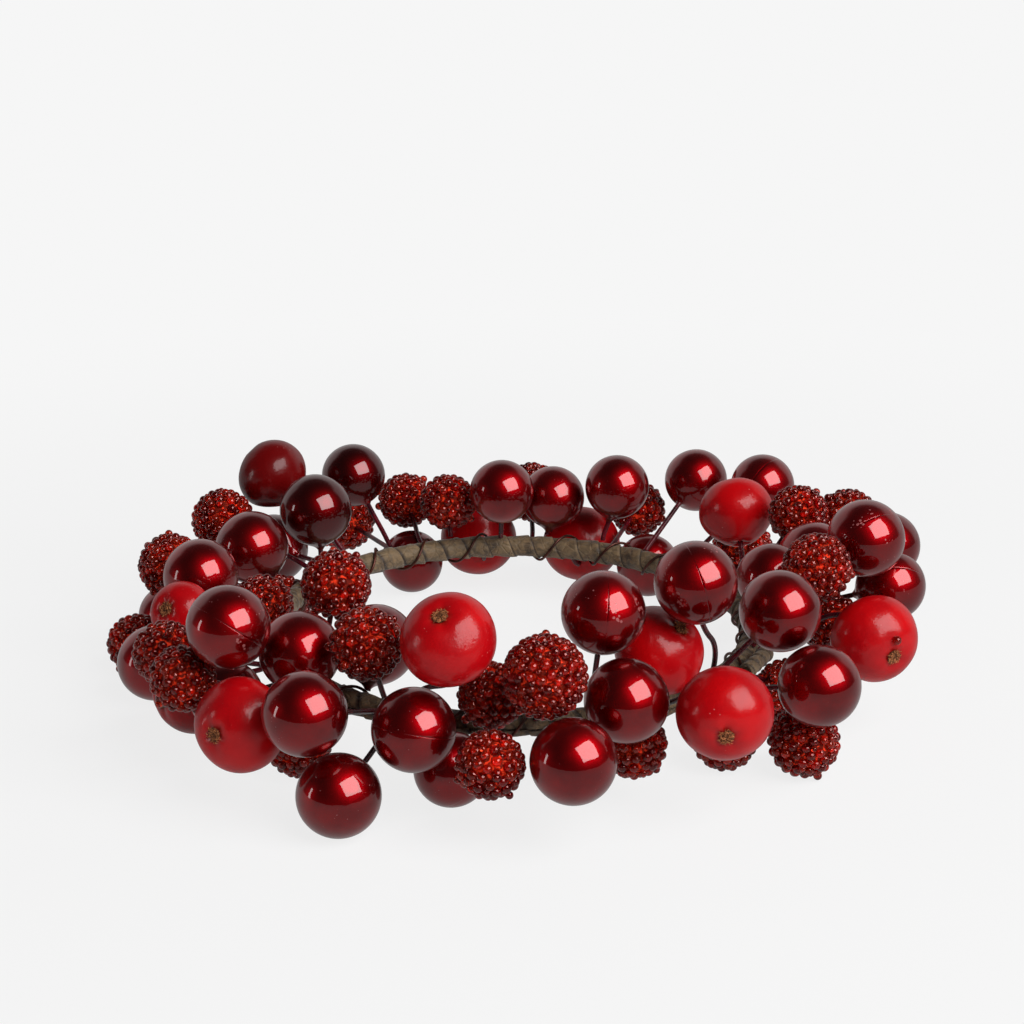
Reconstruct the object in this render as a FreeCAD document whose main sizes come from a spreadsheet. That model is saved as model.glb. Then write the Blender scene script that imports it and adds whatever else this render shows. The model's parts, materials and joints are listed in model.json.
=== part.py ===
"""A candle ring: a taped wire hoop that carries artificial berries on short coated wire stems.

Millimetres, +Z up. The origin lies on the ring's axis, on the surface that the ring stands on.
Degrees round the hoop count from +X, the right side, through +Y, the back; 270 is the front.
"""

import FreeCAD, Part
import math
import os

import Sketcher

Vector = FreeCAD.Vector

os.makedirs("parts", exist_ok=True)

# Driving dimensions
DIMENSIONS = {
    # the hoop and what is wound on it
    "opening_diameter": 70.0,
    "opening_clearance": 1.2,
    "hoop_radius": 51.0,
    "hoop_height": 13.0,
    "hoop_wire_diameter": 2.4,
    "tape_thickness": 1.4,
    "tape_fit": 0.05,
    "binding_wire_diameter": 0.6,
    "binding_fit": 0.1,
    "tail_diameter": 3.6,
    "tail_length": 12.0,
    "tail_rounding": 0.5,
    # the berries
    "large_pearl_diameter": 16.2,
    "small_pearl_diameter": 14.8,
    "large_apple_diameter": 18.6,
    "large_apple_height": 17.6,
    "small_apple_diameter": 16.8,
    "small_apple_height": 16.0,
    "bud_apple_diameter": 13.4,
    "bud_apple_height": 12.8,
    "large_raspberry_diameter": 16.4,
    "middle_raspberry_diameter": 14.6,
    "small_raspberry_diameter": 13.4,
    # the apples' two dimples
    "calyx_diameter": 4.4,
    "calyx_height": 1.0,
    "calyx_dimple_depth": 1.1,
    "calyx_dimple_diameter": 7.0,
    "stem_dimple_depth": 1.2,
    "stem_dimple_diameter": 6.0,
    # the stems
    "stem_diameter": 1.1,
    "stem_fit": 0.05,
    "socket_depth": 4.0,
    # the raspberries' beads
    "bead_diameter": 1.8,
    "bead_pitch": 2.3,
    "bead_rise": 1.15,
    # how close things sit
    "pile_height": 40.0,
    "berry_gap": 0.6,
    "seat_gap": 0.3,
    "stem_gap": 0.3,
    "cutter_overrun": 2.0,
}

# Counts and angles
BINDING_LOOPS = 24
BINDING_START_DEGREES = 95
BINDING_SPAN_DEGREES = 352
ARCS_PER_LOOP = 4
TAIL_DEGREES = 333
TAIL_LAP_DEGREES = 25
TAIL_SAMPLES = 5
SETTLING_PASSES = 400
SETTLING_STEP_SHARE = 0.5
FOOT_REACH_DEGREES = 24
FOOT_TILTS_DEGREES = (0, 20, -20, 40, -40, 60, -60, 80, -80)
STEM_SAMPLES = 8
FOOT_SAMPLES = 2
WIRE_SAMPLES_PER_LOOP = 32
COMPARED_LOOPS = 2

# The turn from one bead to the next, which spreads them evenly over a ball
GOLDEN_TURN = math.pi * (3 - math.sqrt(5))

# A bend that strays less than this share of its chord is a straight line
STRAIGHT_SHARE = 1e-5

# The berries' size names, and what a sprig's nodes are called
BERRY_KINDS = (
    "large_pearl", "small_pearl",
    "large_apple", "small_apple", "bud_apple",
    "large_raspberry", "middle_raspberry", "small_raspberry",
)
PLURALS = {"pearl": "pearls", "apple": "apples", "raspberry": "raspberries"}

# A berry that lies on the table has RESTS as its rise
RESTS = None

# Each sprig's berries: size name, degrees round the hoop, then the centre's distance from the
# axis as a share of the hoop's radius and its height as a share of the pile's height
SPRIG_SHARES = {
    "right": (
        ("large_pearl", 2, 1.27, 0.67),
        ("small_pearl", 8, 1.60, 0.69),
        ("small_raspberry", 15, 1.27, 0.81),
        ("middle_raspberry", 18, 1.54, 0.71),
        ("large_apple", 340, 1.53, 0.53),
        ("middle_raspberry", 340, 1.29, 0.87),
        ("small_raspberry", 341, 1.18, RESTS),
        ("small_pearl", 349, 1.08, 0.70),
        ("small_raspberry", 354, 1.33, 0.43),
        ("large_pearl", 351, 1.45, 0.93),
        ("small_pearl", 357, 1.57, 0.60),
    ),
    "right_back": (
        ("small_pearl", 25, 1.22, RESTS),
        ("small_pearl", 41, 1.51, 0.70),
        ("middle_raspberry", 47, 1.58, 0.24),
        ("small_pearl", 55, 1.49, 0.64),
        ("small_pearl", 59, 1.22, RESTS),
        ("small_raspberry", 66, 1.46, 0.41),
    ),
    "back": (
        ("large_apple", 75, 1.25, 0.24),
        ("small_pearl", 80, 1.08, 0.60),
        ("middle_raspberry", 86, 1.35, 0.51),
        ("small_pearl", 93, 0.89, 0.71),
        ("large_apple", 97, 1.30, 0.24),
        ("small_raspberry", 106, 1.06, 0.59),
        ("small_raspberry", 111, 1.39, 0.48),
    ),
    "left_back": (
        ("small_pearl", 113, 1.19, RESTS),
        ("middle_raspberry", 120, 1.58, 0.32),
        ("small_pearl", 123, 1.34, 0.71),
        ("large_pearl", 137, 1.50, 0.30),
        ("small_apple", 139, 1.43, 0.79),
        ("small_raspberry", 150, 1.18, RESTS),
        ("middle_raspberry", 150, 1.49, 0.60),
    ),
    "left": (
        ("large_pearl", 161, 1.19, 0.60),
        ("small_pearl", 165, 1.54, RESTS),
        ("middle_raspberry", 169, 1.49, 0.54),
        ("small_raspberry", 176, 1.60, RESTS),
        ("large_pearl", 186, 1.49, RESTS),
        ("bud_apple", 192, 1.37, 0.55),
        ("small_raspberry", 195, 1.05, 0.58),
        ("large_apple", 202, 1.37, 0.24),
    ),
    "left_front": (
        ("small_raspberry", 208, 1.53, 0.55),
        ("small_pearl", 216, 1.37, 0.36),
        ("small_raspberry", 219, 1.60, 0.57),
        ("large_pearl", 225, 1.50, 0.86),
        ("large_pearl", 228, 1.21, 0.65),
        ("small_raspberry", 228, 1.23, RESTS),
        ("large_apple", 230, 1.57, 0.44),
        ("large_pearl", 234, 0.90, 0.60),
        ("large_pearl", 242, 1.60, 0.61),
        ("middle_raspberry", 243, 1.20, 0.78),
        ("large_pearl", 246, 1.56, RESTS),
    ),
    "front": (
        ("large_pearl", 255, 1.39, 0.49),
        ("small_pearl", 259, 1.19, RESTS),
        ("small_raspberry", 266, 1.11, 0.52),
        ("small_raspberry", 267, 1.51, 0.41),
        ("large_raspberry", 275, 1.37, 0.77),
        ("large_pearl", 278, 1.58, 0.46),
        ("large_pearl", 287, 1.16, 0.96),
        ("large_pearl", 288, 1.36, 0.61),
    ),
    "right_front": (
        ("small_raspberry", 292, 1.22, 0.29),
        ("large_apple", 300, 1.55, 0.58),
        ("large_apple", 302, 1.05, 0.65),
        ("small_raspberry", 314, 1.19, RESTS),
        ("large_pearl", 318, 1.56, 0.55),
        ("middle_raspberry", 321, 1.45, RESTS),
        ("large_pearl", 321, 1.32, 0.83),
    ),
}

# The berries that stand free enough to be bent on their stems, one node each
BENDING_SHARES = {
    "front_top_apple": ("large_apple", 260, 1.31, 0.91),
    "right_front_top_pearl": ("large_pearl", 305, 1.20, 1.05),
    "right_back_top_apple": ("small_apple", 29, 1.12, 0.73),
    "back_top_pearl": ("small_pearl", 64, 1.09, 0.70),
    "left_back_top_pearl": ("large_pearl", 144, 1.07, 0.71),
    "left_top_pearl": ("large_pearl", 180, 1.30, 0.61),
    "left_front_top_raspberry": ("middle_raspberry", 216, 0.86, 0.81),
}

# Where each apple's calyx faces: degrees round the ring's axis, and degrees above level.
# An apple is found by its own degrees round the hoop.
CALYX_FACING_DEGREES = {
    340: (294, -9),
    75: (85, 15),
    97: (100, 15),
    139: (150, 35),
    192: (237, 27),
    202: (215, -5),
    230: (238, 6),
    300: (268, -10),
    302: (325, 50),
    260: (248, 56),
    29: (100, 50),
}

# How far round the hoop a stem's foot lies from its berry, where it isn't straight below.
# A berry is found by its size name and its degrees round the hoop.
FOOT_LEAD_DEGREES = {
    ("large_apple", 260): -12,
    ("large_pearl", 305): 8,
    ("small_apple", 29): -12,
    ("large_apple", 340): 4,
}


doc = FreeCAD.newDocument("candle_ring")


def make_sheet():
    """Put each driving dimension in a cell of its own, with its name as the alias."""
    sheet = doc.addObject("Spreadsheet::Sheet", "Sizes")
    for row, (alias, value) in enumerate(DIMENSIONS.items(), start=1):
        sheet.set(f"A{row}", alias)
        sheet.set(f"B{row}", str(value))
        sheet.setAlias(f"B{row}", alias)
    doc.recompute()
    return sheet


sizes = make_sheet()


def size(expression):
    """A length worked out from the sheet's cells."""
    return float(sizes.evalExpression(expression))


def bind(item, **expressions):
    """Bind an object's sizes to the sheet."""
    for name, expression in expressions.items():
        item.setExpression(name.replace("__", "."), expression)


hoop_radius = size("hoop_radius")
hoop_height = size("hoop_height")
tape_radius = size("hoop_wire_diameter / 2 + tape_thickness")
stem_radius = size("stem_diameter / 2")
socket_depth = size("socket_depth")
seat_gap = size("seat_gap")
stem_gap = size("stem_gap")
berry_gap = size("berry_gap")
pile_height = size("pile_height")
binding_radius = size("binding_wire_diameter / 2")
winding_radius = tape_radius + size("binding_fit") + binding_radius


def outward(azimuth):
    """The level direction away from the ring's axis."""
    return Vector(math.cos(azimuth), math.sin(azimuth), 0)


def along(azimuth):
    """The hoop's own direction at that place."""
    return Vector(-math.sin(azimuth), math.cos(azimuth), 0)


def nearest(points, others):
    """The least distance between two sets of points."""
    return min(point.distanceToPoint(other) for point in points for other in others)


def hoop_point(azimuth):
    """The middle of the hoop wire's section."""
    return outward(azimuth) * hoop_radius + Vector(0, 0, hoop_height)


class Berry:
    """One berry: what it is, where its centre lies and which way its stem leaves."""

    def __init__(self, kind, degrees, out_share, rise_share, node=None):
        self.kind = kind
        self.degrees = degrees
        self.node = node
        self.radius = size(f"{kind}_diameter / 2")
        self.rests = rise_share is RESTS
        rise = self.radius if self.rests else pile_height * rise_share
        self.centre = outward(math.radians(degrees)) * hoop_radius * out_share + Vector(0, 0, rise)
        self.is_apple = kind.endswith("apple")

    def half_length(self):
        """From the centre to the stem side's end."""
        if self.is_apple:
            return size(f"{self.kind}_height / 2 - stem_dimple_depth")
        return self.radius


def settle(berries):
    """Push the berries apart until each clears its neighbours, the hoop, the opening and the table."""
    opening_limit = size("opening_diameter / 2 + opening_clearance")
    hoop_limit = winding_radius + binding_radius + berry_gap
    for _ in range(SETTLING_PASSES):
        moved = False
        for number, first in enumerate(berries):
            for second in berries[number + 1:]:
                apart = second.centre - first.centre
                lack = first.radius + second.radius + berry_gap - apart.Length
                if lack > 0:
                    push = apart.normalize() * (lack * SETTLING_STEP_SHARE)
                    first.centre -= push
                    second.centre += push
                    moved = True
        for berry in berries:
            azimuth = math.atan2(berry.centre.y, berry.centre.x)
            reach = math.hypot(berry.centre.x, berry.centre.y)
            berry.centre += outward(azimuth) * max(0, opening_limit + berry.radius - reach)
            from_hoop = berry.centre - hoop_point(azimuth)
            lack = hoop_limit + berry.radius - from_hoop.Length
            if lack > 0:
                berry.centre += from_hoop.normalize() * lack
            lowest = berry.radius if berry.rests else berry.radius + seat_gap
            if berry.rests or berry.centre.z < lowest:
                berry.centre.z = lowest
        if not moved:
            break


def read_berries():
    """Every berry by its group, settled among its neighbours."""
    sprigs = {}
    for sprig, rows in SPRIG_SHARES.items():
        sprigs[sprig] = [Berry(*row) for row in rows]
    bending = [Berry(*row, node=node) for node, row in BENDING_SHARES.items()]
    everyone = [berry for group in sprigs.values() for berry in group] + bending
    settle(everyone)
    plan_stems(everyone)
    return sprigs, bending


# The hoop


def make_torus(name, section_radius):
    """A ring of round section on the hoop's own line."""
    torus = doc.addObject("Part::Torus", name)
    bind(torus, Radius1="Sizes.hoop_radius", Radius2=section_radius)
    bind(torus, Placement__Base__z="Sizes.hoop_height")
    return torus


def make_hoop_wire():
    """The bare steel wire inside the tape."""
    return make_torus("hoop_wire", "Sizes.hoop_wire_diameter / 2")


def make_hoop_tape():
    """The paper tape's laps round the wire, as one sleeve."""
    wrapped = make_torus("tape_outside", "Sizes.hoop_wire_diameter / 2 + Sizes.tape_thickness")
    bore = make_torus("tape_inside", "Sizes.hoop_wire_diameter / 2 + Sizes.tape_fit")
    sleeve = doc.addObject("Part::Cut", "hoop_tape")
    sleeve.Base = wrapped
    sleeve.Tool = bore
    return sleeve


def arc_from(start, tangent, end):
    """The arc that leaves start along the tangent and ends at end."""
    chord = end - start
    sideways = chord - tangent * chord.dot(tangent)
    if sideways.Length < chord.Length * STRAIGHT_SHARE:
        return Part.LineSegment(start, end).toShape()
    sideways.normalize()
    radius = chord.dot(chord) / (2 * sideways.dot(chord))
    centre = start + sideways * radius
    middle = (start - centre) + (end - centre)
    return Part.Arc(start, centre + middle.normalize() * radius, end).toShape()


def biarc(start, start_tangent, end, end_tangent):
    """Two arcs that join two points with the directions given there."""
    chord = end - start
    both = start_tangent + end_tangent
    turn = 2 * (1 - start_tangent.dot(end_tangent))
    along_both = chord.dot(both)
    reach = chord.dot(chord) / (math.sqrt(along_both ** 2 + turn * chord.dot(chord)) + along_both)
    joint = (start + end + (start_tangent - end_tangent) * reach) * 0.5
    back = arc_from(end, end_tangent * -1, joint)
    return [arc_from(start, start_tangent, joint), back.reversed()]


def winding_point(share):
    """A point on the binding wire's line, and its direction, from 0 at its start to 1 at its end."""
    span = math.radians(BINDING_SPAN_DEGREES)
    azimuth = math.radians(BINDING_START_DEGREES) + span * share
    lap = 2 * math.pi * BINDING_LOOPS * share
    point = hoop_point(azimuth) + outward(azimuth) * (winding_radius * math.cos(lap))
    point += Vector(0, 0, winding_radius * math.sin(lap))
    forward = along(azimuth) * ((hoop_radius + winding_radius * math.cos(lap)) * span)
    round_it = outward(azimuth) * -math.sin(lap) + Vector(0, 0, math.cos(lap))
    direction = forward + round_it * (winding_radius * 2 * math.pi * BINDING_LOOPS)
    return point, direction.normalize()


def winding_samples():
    """Points along the binding wire's line."""
    count = WIRE_SAMPLES_PER_LOOP * BINDING_LOOPS
    return [winding_point(step / count)[0] for step in range(count + 1)]


def winding_gap():
    """The least gap between one loop of the binding wire and the next, measured on points."""
    points = winding_samples()
    half_loop = WIRE_SAMPLES_PER_LOOP // 2
    compared = COMPARED_LOOPS * WIRE_SAMPLES_PER_LOOP
    least = min(nearest(points[first:first + 1], points[first + half_loop:first + compared])
                for first in range(len(points) - half_loop))
    return least - 2 * binding_radius


def make_binding_wire():
    """One unbroken thin wire wound round the taped hoop."""
    count = ARCS_PER_LOOP * BINDING_LOOPS
    stations = [winding_point(step / count) for step in range(count + 1)]
    edges = []
    for (start, start_tangent), (end, end_tangent) in zip(stations, stations[1:]):
        edges += biarc(start, start_tangent, end, end_tangent)
    path = Part.Wire(edges)
    start, tangent = stations[0]
    section = Part.Wire(Part.Circle(start, tangent, binding_radius).toShape())
    shell = Part.BRepOffsetAPI.MakePipeShell(path)
    shell.add(section)
    shell.build()
    shell.makeSolid()
    wire = doc.addObject("Part::Feature", "binding_wire")
    wire.Shape = shell.shape()
    print(f"binding wire: {BINDING_LOOPS} loops, least gap between loops {winding_gap():.2f} mm")
    return wire


def tail_place():
    """Beside the hoop, along it, with the cut end towards the front."""
    azimuth = math.radians(TAIL_DEGREES)
    lap = math.radians(TAIL_LAP_DEGREES)
    reach = winding_radius + binding_radius + seat_gap + size("tail_diameter / 2")
    start = hoop_point(azimuth) + outward(azimuth) * (reach * math.cos(lap))
    start += Vector(0, 0, reach * math.sin(lap)) - along(azimuth) * size("tail_length / 2")
    return FreeCAD.Placement(start, FreeCAD.Rotation(Vector(0, 0, 1), along(azimuth)))


def tail_spheres():
    """The space that the taped tail fills, as spheres along it."""
    length = size("tail_length")
    place = tail_place()
    return [(place.multVec(Vector(0, 0, length * step / (TAIL_SAMPLES - 1))), size("tail_diameter / 2"))
            for step in range(TAIL_SAMPLES)]


def make_taped_tail():
    """The cut end of a bundle of stems, wrapped in tape, that lies beside the hoop."""
    rod = doc.addObject("Part::Cylinder", "tail_rod")
    bind(rod, Radius="Sizes.tail_diameter / 2", Height="Sizes.tail_length")
    tail = doc.addObject("Part::Fillet", "taped_stem_tail")
    tail.Base = rod
    doc.recompute()
    ends = [number for number, edge in enumerate(rod.Shape.Edges, start=1)
            if edge.Curve.TypeId == "Part::GeomCircle"]
    tail.Edges = [(number, size("tail_rounding"), size("tail_rounding")) for number in ends]
    tail.Placement = tail_place()
    return tail


# The berries


def bead_directions(kind):
    """The directions from a raspberry's middle to its beads, spread evenly, clear of its stem."""
    middle = size(f"{kind}_diameter / 2 - bead_diameter / 2")
    cell = size("bead_pitch") ** 2 * math.sin(math.radians(60))
    count = round(4 * math.pi * middle ** 2 / cell)
    clear = stem_radius + stem_gap + size("bead_diameter / 2")
    for number in range(count):
        height = 1 - (2 * number + 1) / count
        across = math.sqrt(1 - height ** 2)
        if height < 0 or across * middle > clear:
            yield outward(GOLDEN_TURN * number) * across + Vector(0, 0, height)


def make_raspberry(kind):
    """A ball covered with glass beads, with the socket that its stem is glued into."""
    core = doc.addObject("Part::Sphere", f"{kind}_core")
    bind(core, Radius=f"Sizes.{kind}_diameter / 2 - Sizes.bead_rise")
    bead = doc.addObject("Part::Sphere", f"{kind}_bead")
    bind(bead, Radius="Sizes.bead_diameter / 2")
    middle = size(f"{kind}_diameter / 2 - bead_diameter / 2")
    beads = []
    for number, direction in enumerate(bead_directions(kind)):
        turn = FreeCAD.Rotation(Vector(0, 0, 1), direction)
        beads.append(placed(bead, f"{kind}_bead_{number}", FreeCAD.Placement(direction * middle, turn)))
    beaded = doc.addObject("Part::MultiFuse", f"{kind}_beaded")
    beaded.Shapes = [core] + beads
    return with_socket(beaded, kind)


def make_pearl(kind):
    """A plain round berry, with the socket that its stem is glued into."""
    ball = doc.addObject("Part::Sphere", f"{kind}_ball")
    bind(ball, Radius=f"Sizes.{kind}_diameter / 2")
    return with_socket(ball, kind)


def with_socket(ball, kind):
    """A berry with its stem's socket, on its +Z side."""
    socket = doc.addObject("Part::Cylinder", f"{kind}_socket")
    bind(socket, Radius="Sizes.stem_diameter / 2 + Sizes.stem_fit")
    bind(socket, Height="Sizes.socket_depth + Sizes.cutter_overrun")
    bind(socket, Placement__Base__z=f"Sizes.{kind}_diameter / 2 - Sizes.socket_depth")
    berry = doc.addObject("Part::Cut", kind)
    berry.Base = ball
    berry.Tool = socket
    return berry


def origin_plane(body, role):
    """One of a body's own origin planes or axes."""
    return next(item for item in body.Origin.OriginFeatures if item.Role == role)


def hold(sketch, constraint, expression):
    """Add a constraint whose value follows the sheet."""
    number = sketch.addConstraint(constraint)
    sketch.setExpression(f"Constraints[{number}]", expression)


def fix_across(sketch, geometry, end, expression):
    """Hold one end of a sketched line at a distance from the sketch's upright axis."""
    hold(sketch, Sketcher.Constraint("DistanceX", -1, 1, geometry, end, size(expression)), expression)


def fix_up(sketch, geometry, end, expression):
    """Hold one end of a sketched line at a height over the sketch's level axis."""
    hold(sketch, Sketcher.Constraint("DistanceY", -1, 1, geometry, end, size(expression)), expression)


def make_apple(kind):
    """A moulded apple, turned about Z: calyx dimple below, stem dimple and socket above."""
    half_height = f"Sizes.{kind}_height / 2"
    bulge_across = f"Sizes.{kind}_diameter / 2 - Sizes.{kind}_height / 2"
    calyx_floor = f"Sizes.calyx_dimple_depth - Sizes.{kind}_height / 2"
    calyx_seat = "Sizes.calyx_diameter / 2 + Sizes.seat_gap"
    calyx_rim = "Sizes.calyx_dimple_diameter / 2"
    stem_rim = "Sizes.stem_dimple_diameter / 2"
    socket_side = "Sizes.stem_diameter / 2 + Sizes.stem_fit"
    socket_mouth = f"Sizes.{kind}_height / 2 - Sizes.stem_dimple_depth"
    socket_floor = f"{socket_mouth} - Sizes.socket_depth"

    radius = size(half_height)
    centre = Vector(size(bulge_across), 0, 0)
    below = -math.sqrt(radius ** 2 - (size(calyx_rim) - centre.x) ** 2)
    above = math.sqrt(radius ** 2 - (size(stem_rim) - centre.x) ** 2)
    corners = [
        Vector(0, size(calyx_floor), 0),
        Vector(size(calyx_seat), size(calyx_floor), 0),
        Vector(size(calyx_rim), below, 0),
        Vector(size(stem_rim), above, 0),
        Vector(size(socket_side), size(socket_mouth), 0),
        Vector(size(socket_side), size(socket_floor), 0),
        Vector(0, size(socket_floor), 0),
    ]
    bulge = Part.Circle(centre, Vector(0, 0, 1), radius)
    side = Part.ArcOfCircle(bulge, math.atan2(below, size(calyx_rim) - centre.x),
                            math.atan2(above, size(stem_rim) - centre.x))

    body = doc.addObject("PartDesign::Body", kind)
    sketch = body.newObject("Sketcher::SketchObject", f"{kind}_outline")
    sketch.AttachmentSupport = [(origin_plane(body, "XZ_Plane"), "")]
    sketch.MapMode = "FlatFace"
    floor, dimple, side, flare, wall, end, core = sketch.addGeometry([
        Part.LineSegment(corners[0], corners[1]),
        Part.LineSegment(corners[1], corners[2]),
        side,
        Part.LineSegment(corners[3], corners[4]),
        Part.LineSegment(corners[4], corners[5]),
        Part.LineSegment(corners[5], corners[6]),
        Part.LineSegment(corners[6], corners[0]),
    ])
    for first, second in ((floor, dimple), (dimple, side), (side, flare), (flare, wall),
                          (wall, end), (end, core), (core, floor)):
        sketch.addConstraint(Sketcher.Constraint("Coincident", first, 2, second, 1))
    sketch.addConstraint(Sketcher.Constraint("PointOnObject", floor, 1, -2))
    sketch.addConstraint(Sketcher.Constraint("Horizontal", floor))
    fix_up(sketch, floor, 1, calyx_floor)
    fix_across(sketch, floor, 2, calyx_seat)
    fix_across(sketch, dimple, 2, calyx_rim)
    sketch.addConstraint(Sketcher.Constraint("PointOnObject", side, 3, -1))
    fix_across(sketch, side, 3, bulge_across)
    hold(sketch, Sketcher.Constraint("Radius", side, radius), half_height)
    fix_across(sketch, side, 2, stem_rim)
    fix_across(sketch, flare, 2, socket_side)
    fix_up(sketch, flare, 2, socket_mouth)
    sketch.addConstraint(Sketcher.Constraint("Vertical", wall))
    fix_up(sketch, wall, 2, socket_floor)
    sketch.addConstraint(Sketcher.Constraint("Horizontal", end))
    sketch.addConstraint(Sketcher.Constraint("PointOnObject", end, 2, -2))

    turned = body.newObject("PartDesign::Revolution", f"{kind}_turned")
    turned.Profile = sketch
    turned.ReferenceAxis = (sketch, ["V_Axis"])
    turned.Angle = 360
    body.Tip = turned
    return body


def make_calyx(kind):
    """The dried flower end that sits on the floor of the calyx dimple."""
    disc = doc.addObject("Part::Cone", f"{kind}_calyx")
    bind(disc, Radius1="Sizes.calyx_diameter / 2 - Sizes.seat_gap", Radius2="Sizes.calyx_diameter / 2")
    bind(disc, Height="Sizes.calyx_height")
    bind(disc, Placement__Base__z=(f"Sizes.calyx_dimple_depth - Sizes.{kind}_height / 2"
                                   " - Sizes.calyx_height"))
    return disc


def placed(master, name, place):
    """A copy of a finished shape, set down at a place."""
    copy = doc.addObject("App::Link", name)
    copy.LinkedObject = master
    copy.Placement = place.multiply(master.Placement)
    return copy


def gather(node, copies):
    """One node that holds several separate solids."""
    group = doc.addObject("Part::Compound", node)
    group.Links = copies
    return group


# The stems


def winding_clearance(point, winding):
    """How far a point lies from the surface of the binding wire's nearest loop."""
    degrees = (math.degrees(math.atan2(point.y, point.x)) - BINDING_START_DEGREES) % 360
    last = len(winding) - 1
    middle = min(last, round(last * degrees / BINDING_SPAN_DEGREES))
    half_loop = WIRE_SAMPLES_PER_LOOP // 2
    beside = winding[max(0, middle - half_loop):middle + half_loop]
    return nearest([point], beside) - binding_radius


def stem_direction(berry, foot_side):
    """Which way the stem leaves the berry: opposite the calyx, or else towards its foot."""
    if not berry.is_apple:
        return (foot_side - berry.centre).normalize()
    round_it, above = (math.radians(angle) for angle in CALYX_FACING_DEGREES[berry.degrees])
    calyx = outward(round_it) * math.cos(above) + Vector(0, 0, math.sin(above))
    return calyx * -1


def stem_line(berry, lead, tilt):
    """The stem's line, with its foot so many degrees along the hoop and round its section."""
    azimuth = math.atan2(berry.centre.y, berry.centre.x) + math.radians(lead)
    hub = hoop_point(azimuth)
    direction = stem_direction(berry, hub)
    mouth = berry.centre + direction * berry.half_length()
    side = mouth - hub
    side = (side - along(azimuth) * side.dot(along(azimuth))).normalize()
    side = FreeCAD.Rotation(along(azimuth), tilt).multVec(side)
    foot = hub + side * (tape_radius + seat_gap)
    return mouth, direction, biarc(mouth, direction, foot, side * -1)


def sampled(bends):
    """Points along the two bends of a stem."""
    return [point for bend in bends for point in bend.discretize(STEM_SAMPLES)]


def stem_room(berry, bends, obstacles, stems, winding):
    """How much room a stem has to spare among the berries, the other stems and the wound hoop."""
    arcs = [bend.Curve for bend in bends if bend.Curve.TypeId == "Part::GeomCircle"]
    room = [arc.Radius - 2 * stem_radius for arc in arcs]
    points = sampled(bends)
    needed = stem_radius + stem_gap
    for centre, radius in obstacles:
        if centre is not berry.centre:
            room.append(nearest(points, [centre]) - radius - needed)
    for other in stems:
        if points[-1].distanceToPoint(other[-1]) < hoop_radius:
            room.append(nearest(points, other) - stem_radius - needed)
    free = points[STEM_SAMPLES:]
    room.append(nearest(free, [berry.centre]) - berry.half_length() - stem_gap)
    room += [winding_clearance(point, winding) - needed for point in free]
    for point in points[:-FOOT_SAMPLES]:
        hub = hoop_point(math.atan2(point.y, point.x))
        room.append(point.distanceToPoint(hub) - tape_radius - seat_gap)
    return min(room)


def plan_stems(berries):
    """Give each stem the foot nearest its berry from which it clears everything else."""
    obstacles = [(berry.centre, berry.radius) for berry in berries] + tail_spheres()
    winding = winding_samples()
    leads = sorted(range(-FOOT_REACH_DEGREES, FOOT_REACH_DEGREES + 1), key=abs)
    stems = []
    for berry in berries:
        wished = FOOT_LEAD_DEGREES.get((berry.kind, berry.degrees), 0)
        best, best_room = None, None
        for tilt in FOOT_TILTS_DEGREES:
            for lead in leads:
                plan = stem_line(berry, wished + lead, tilt)
                room = stem_room(berry, plan[2], obstacles, stems, winding)
                if best is None or room > best_room:
                    best, best_room = plan, room
                if best_room > 0:
                    break
            if best_room > 0:
                break
        if best_room <= 0:
            print(f"the stem of the {berry.kind} at {berry.degrees} degrees lacks {-best_room:.2f} mm")
        berry.mouth, berry.direction, berry.bends = best
        stems.append(sampled(berry.bends))


def make_stem(berry):
    """A round wire from inside the berry's socket to its foot on the taped hoop."""
    inner = berry.mouth - berry.direction * (socket_depth - seat_gap)
    line = Part.Wire([Part.LineSegment(inner, berry.mouth).toShape()] + berry.bends)
    section = Part.Wire(Part.Circle(inner, berry.direction, stem_radius).toShape())
    return line.makePipeShell([section], True, False)


def make_stems(node, berries):
    """The stems of one group of berries."""
    stems = doc.addObject("Part::Feature", node)
    stems.Shape = Part.makeCompound([make_stem(berry) for berry in berries])
    return stems


def berry_place(berry):
    """A berry's centre, with its +Z side turned to its stem."""
    return FreeCAD.Placement(berry.centre, FreeCAD.Rotation(Vector(0, 0, 1), berry.direction))


def make_berries(masters, calyxes):
    """All the nodes of the berries, their stems and their calyxes."""
    sprigs, bending = read_berries()
    nodes = []
    loose_calyxes = []
    for sprig, berries in sprigs.items():
        nodes.append(make_stems(f"{sprig}_stems", berries))
        for ending, plural in PLURALS.items():
            copies = [placed(masters[berry.kind], f"{sprig}_{plural}_{number}", berry_place(berry))
                      for number, berry in enumerate(berries) if berry.kind.endswith(ending)]
            if copies:
                nodes.append(gather(f"{sprig}_{plural}", copies))
        for number, berry in enumerate(berries):
            if berry.is_apple:
                name = f"{sprig}_calyx_{number}"
                loose_calyxes.append(placed(calyxes[berry.kind], name, berry_place(berry)))
    nodes.append(gather("apple_calyxes", loose_calyxes))
    for berry in bending:
        nodes.append(make_stems(f"{berry.node}_stem", [berry]))
        copy = placed(masters[berry.kind], f"{berry.node}_copy", berry_place(berry))
        nodes.append(gather(berry.node, [copy]))
        if berry.is_apple:
            copy = placed(calyxes[berry.kind], f"{berry.node}_calyx_copy", berry_place(berry))
            nodes.append(gather(f"{berry.node}_calyx", [copy]))
    return nodes


def check(nodes):
    """Stop at any failed object or broken shape."""
    doc.recompute()
    for item in doc.Objects:
        if "Invalid" in item.State or "Error" in item.State:
            raise RuntimeError(f"{item.Name} failed: {item.State}")
    for node in nodes:
        if node.Shape.isNull() or not node.Shape.isValid():
            raise RuntimeError(f"{node.Label} has no valid shape")


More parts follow.
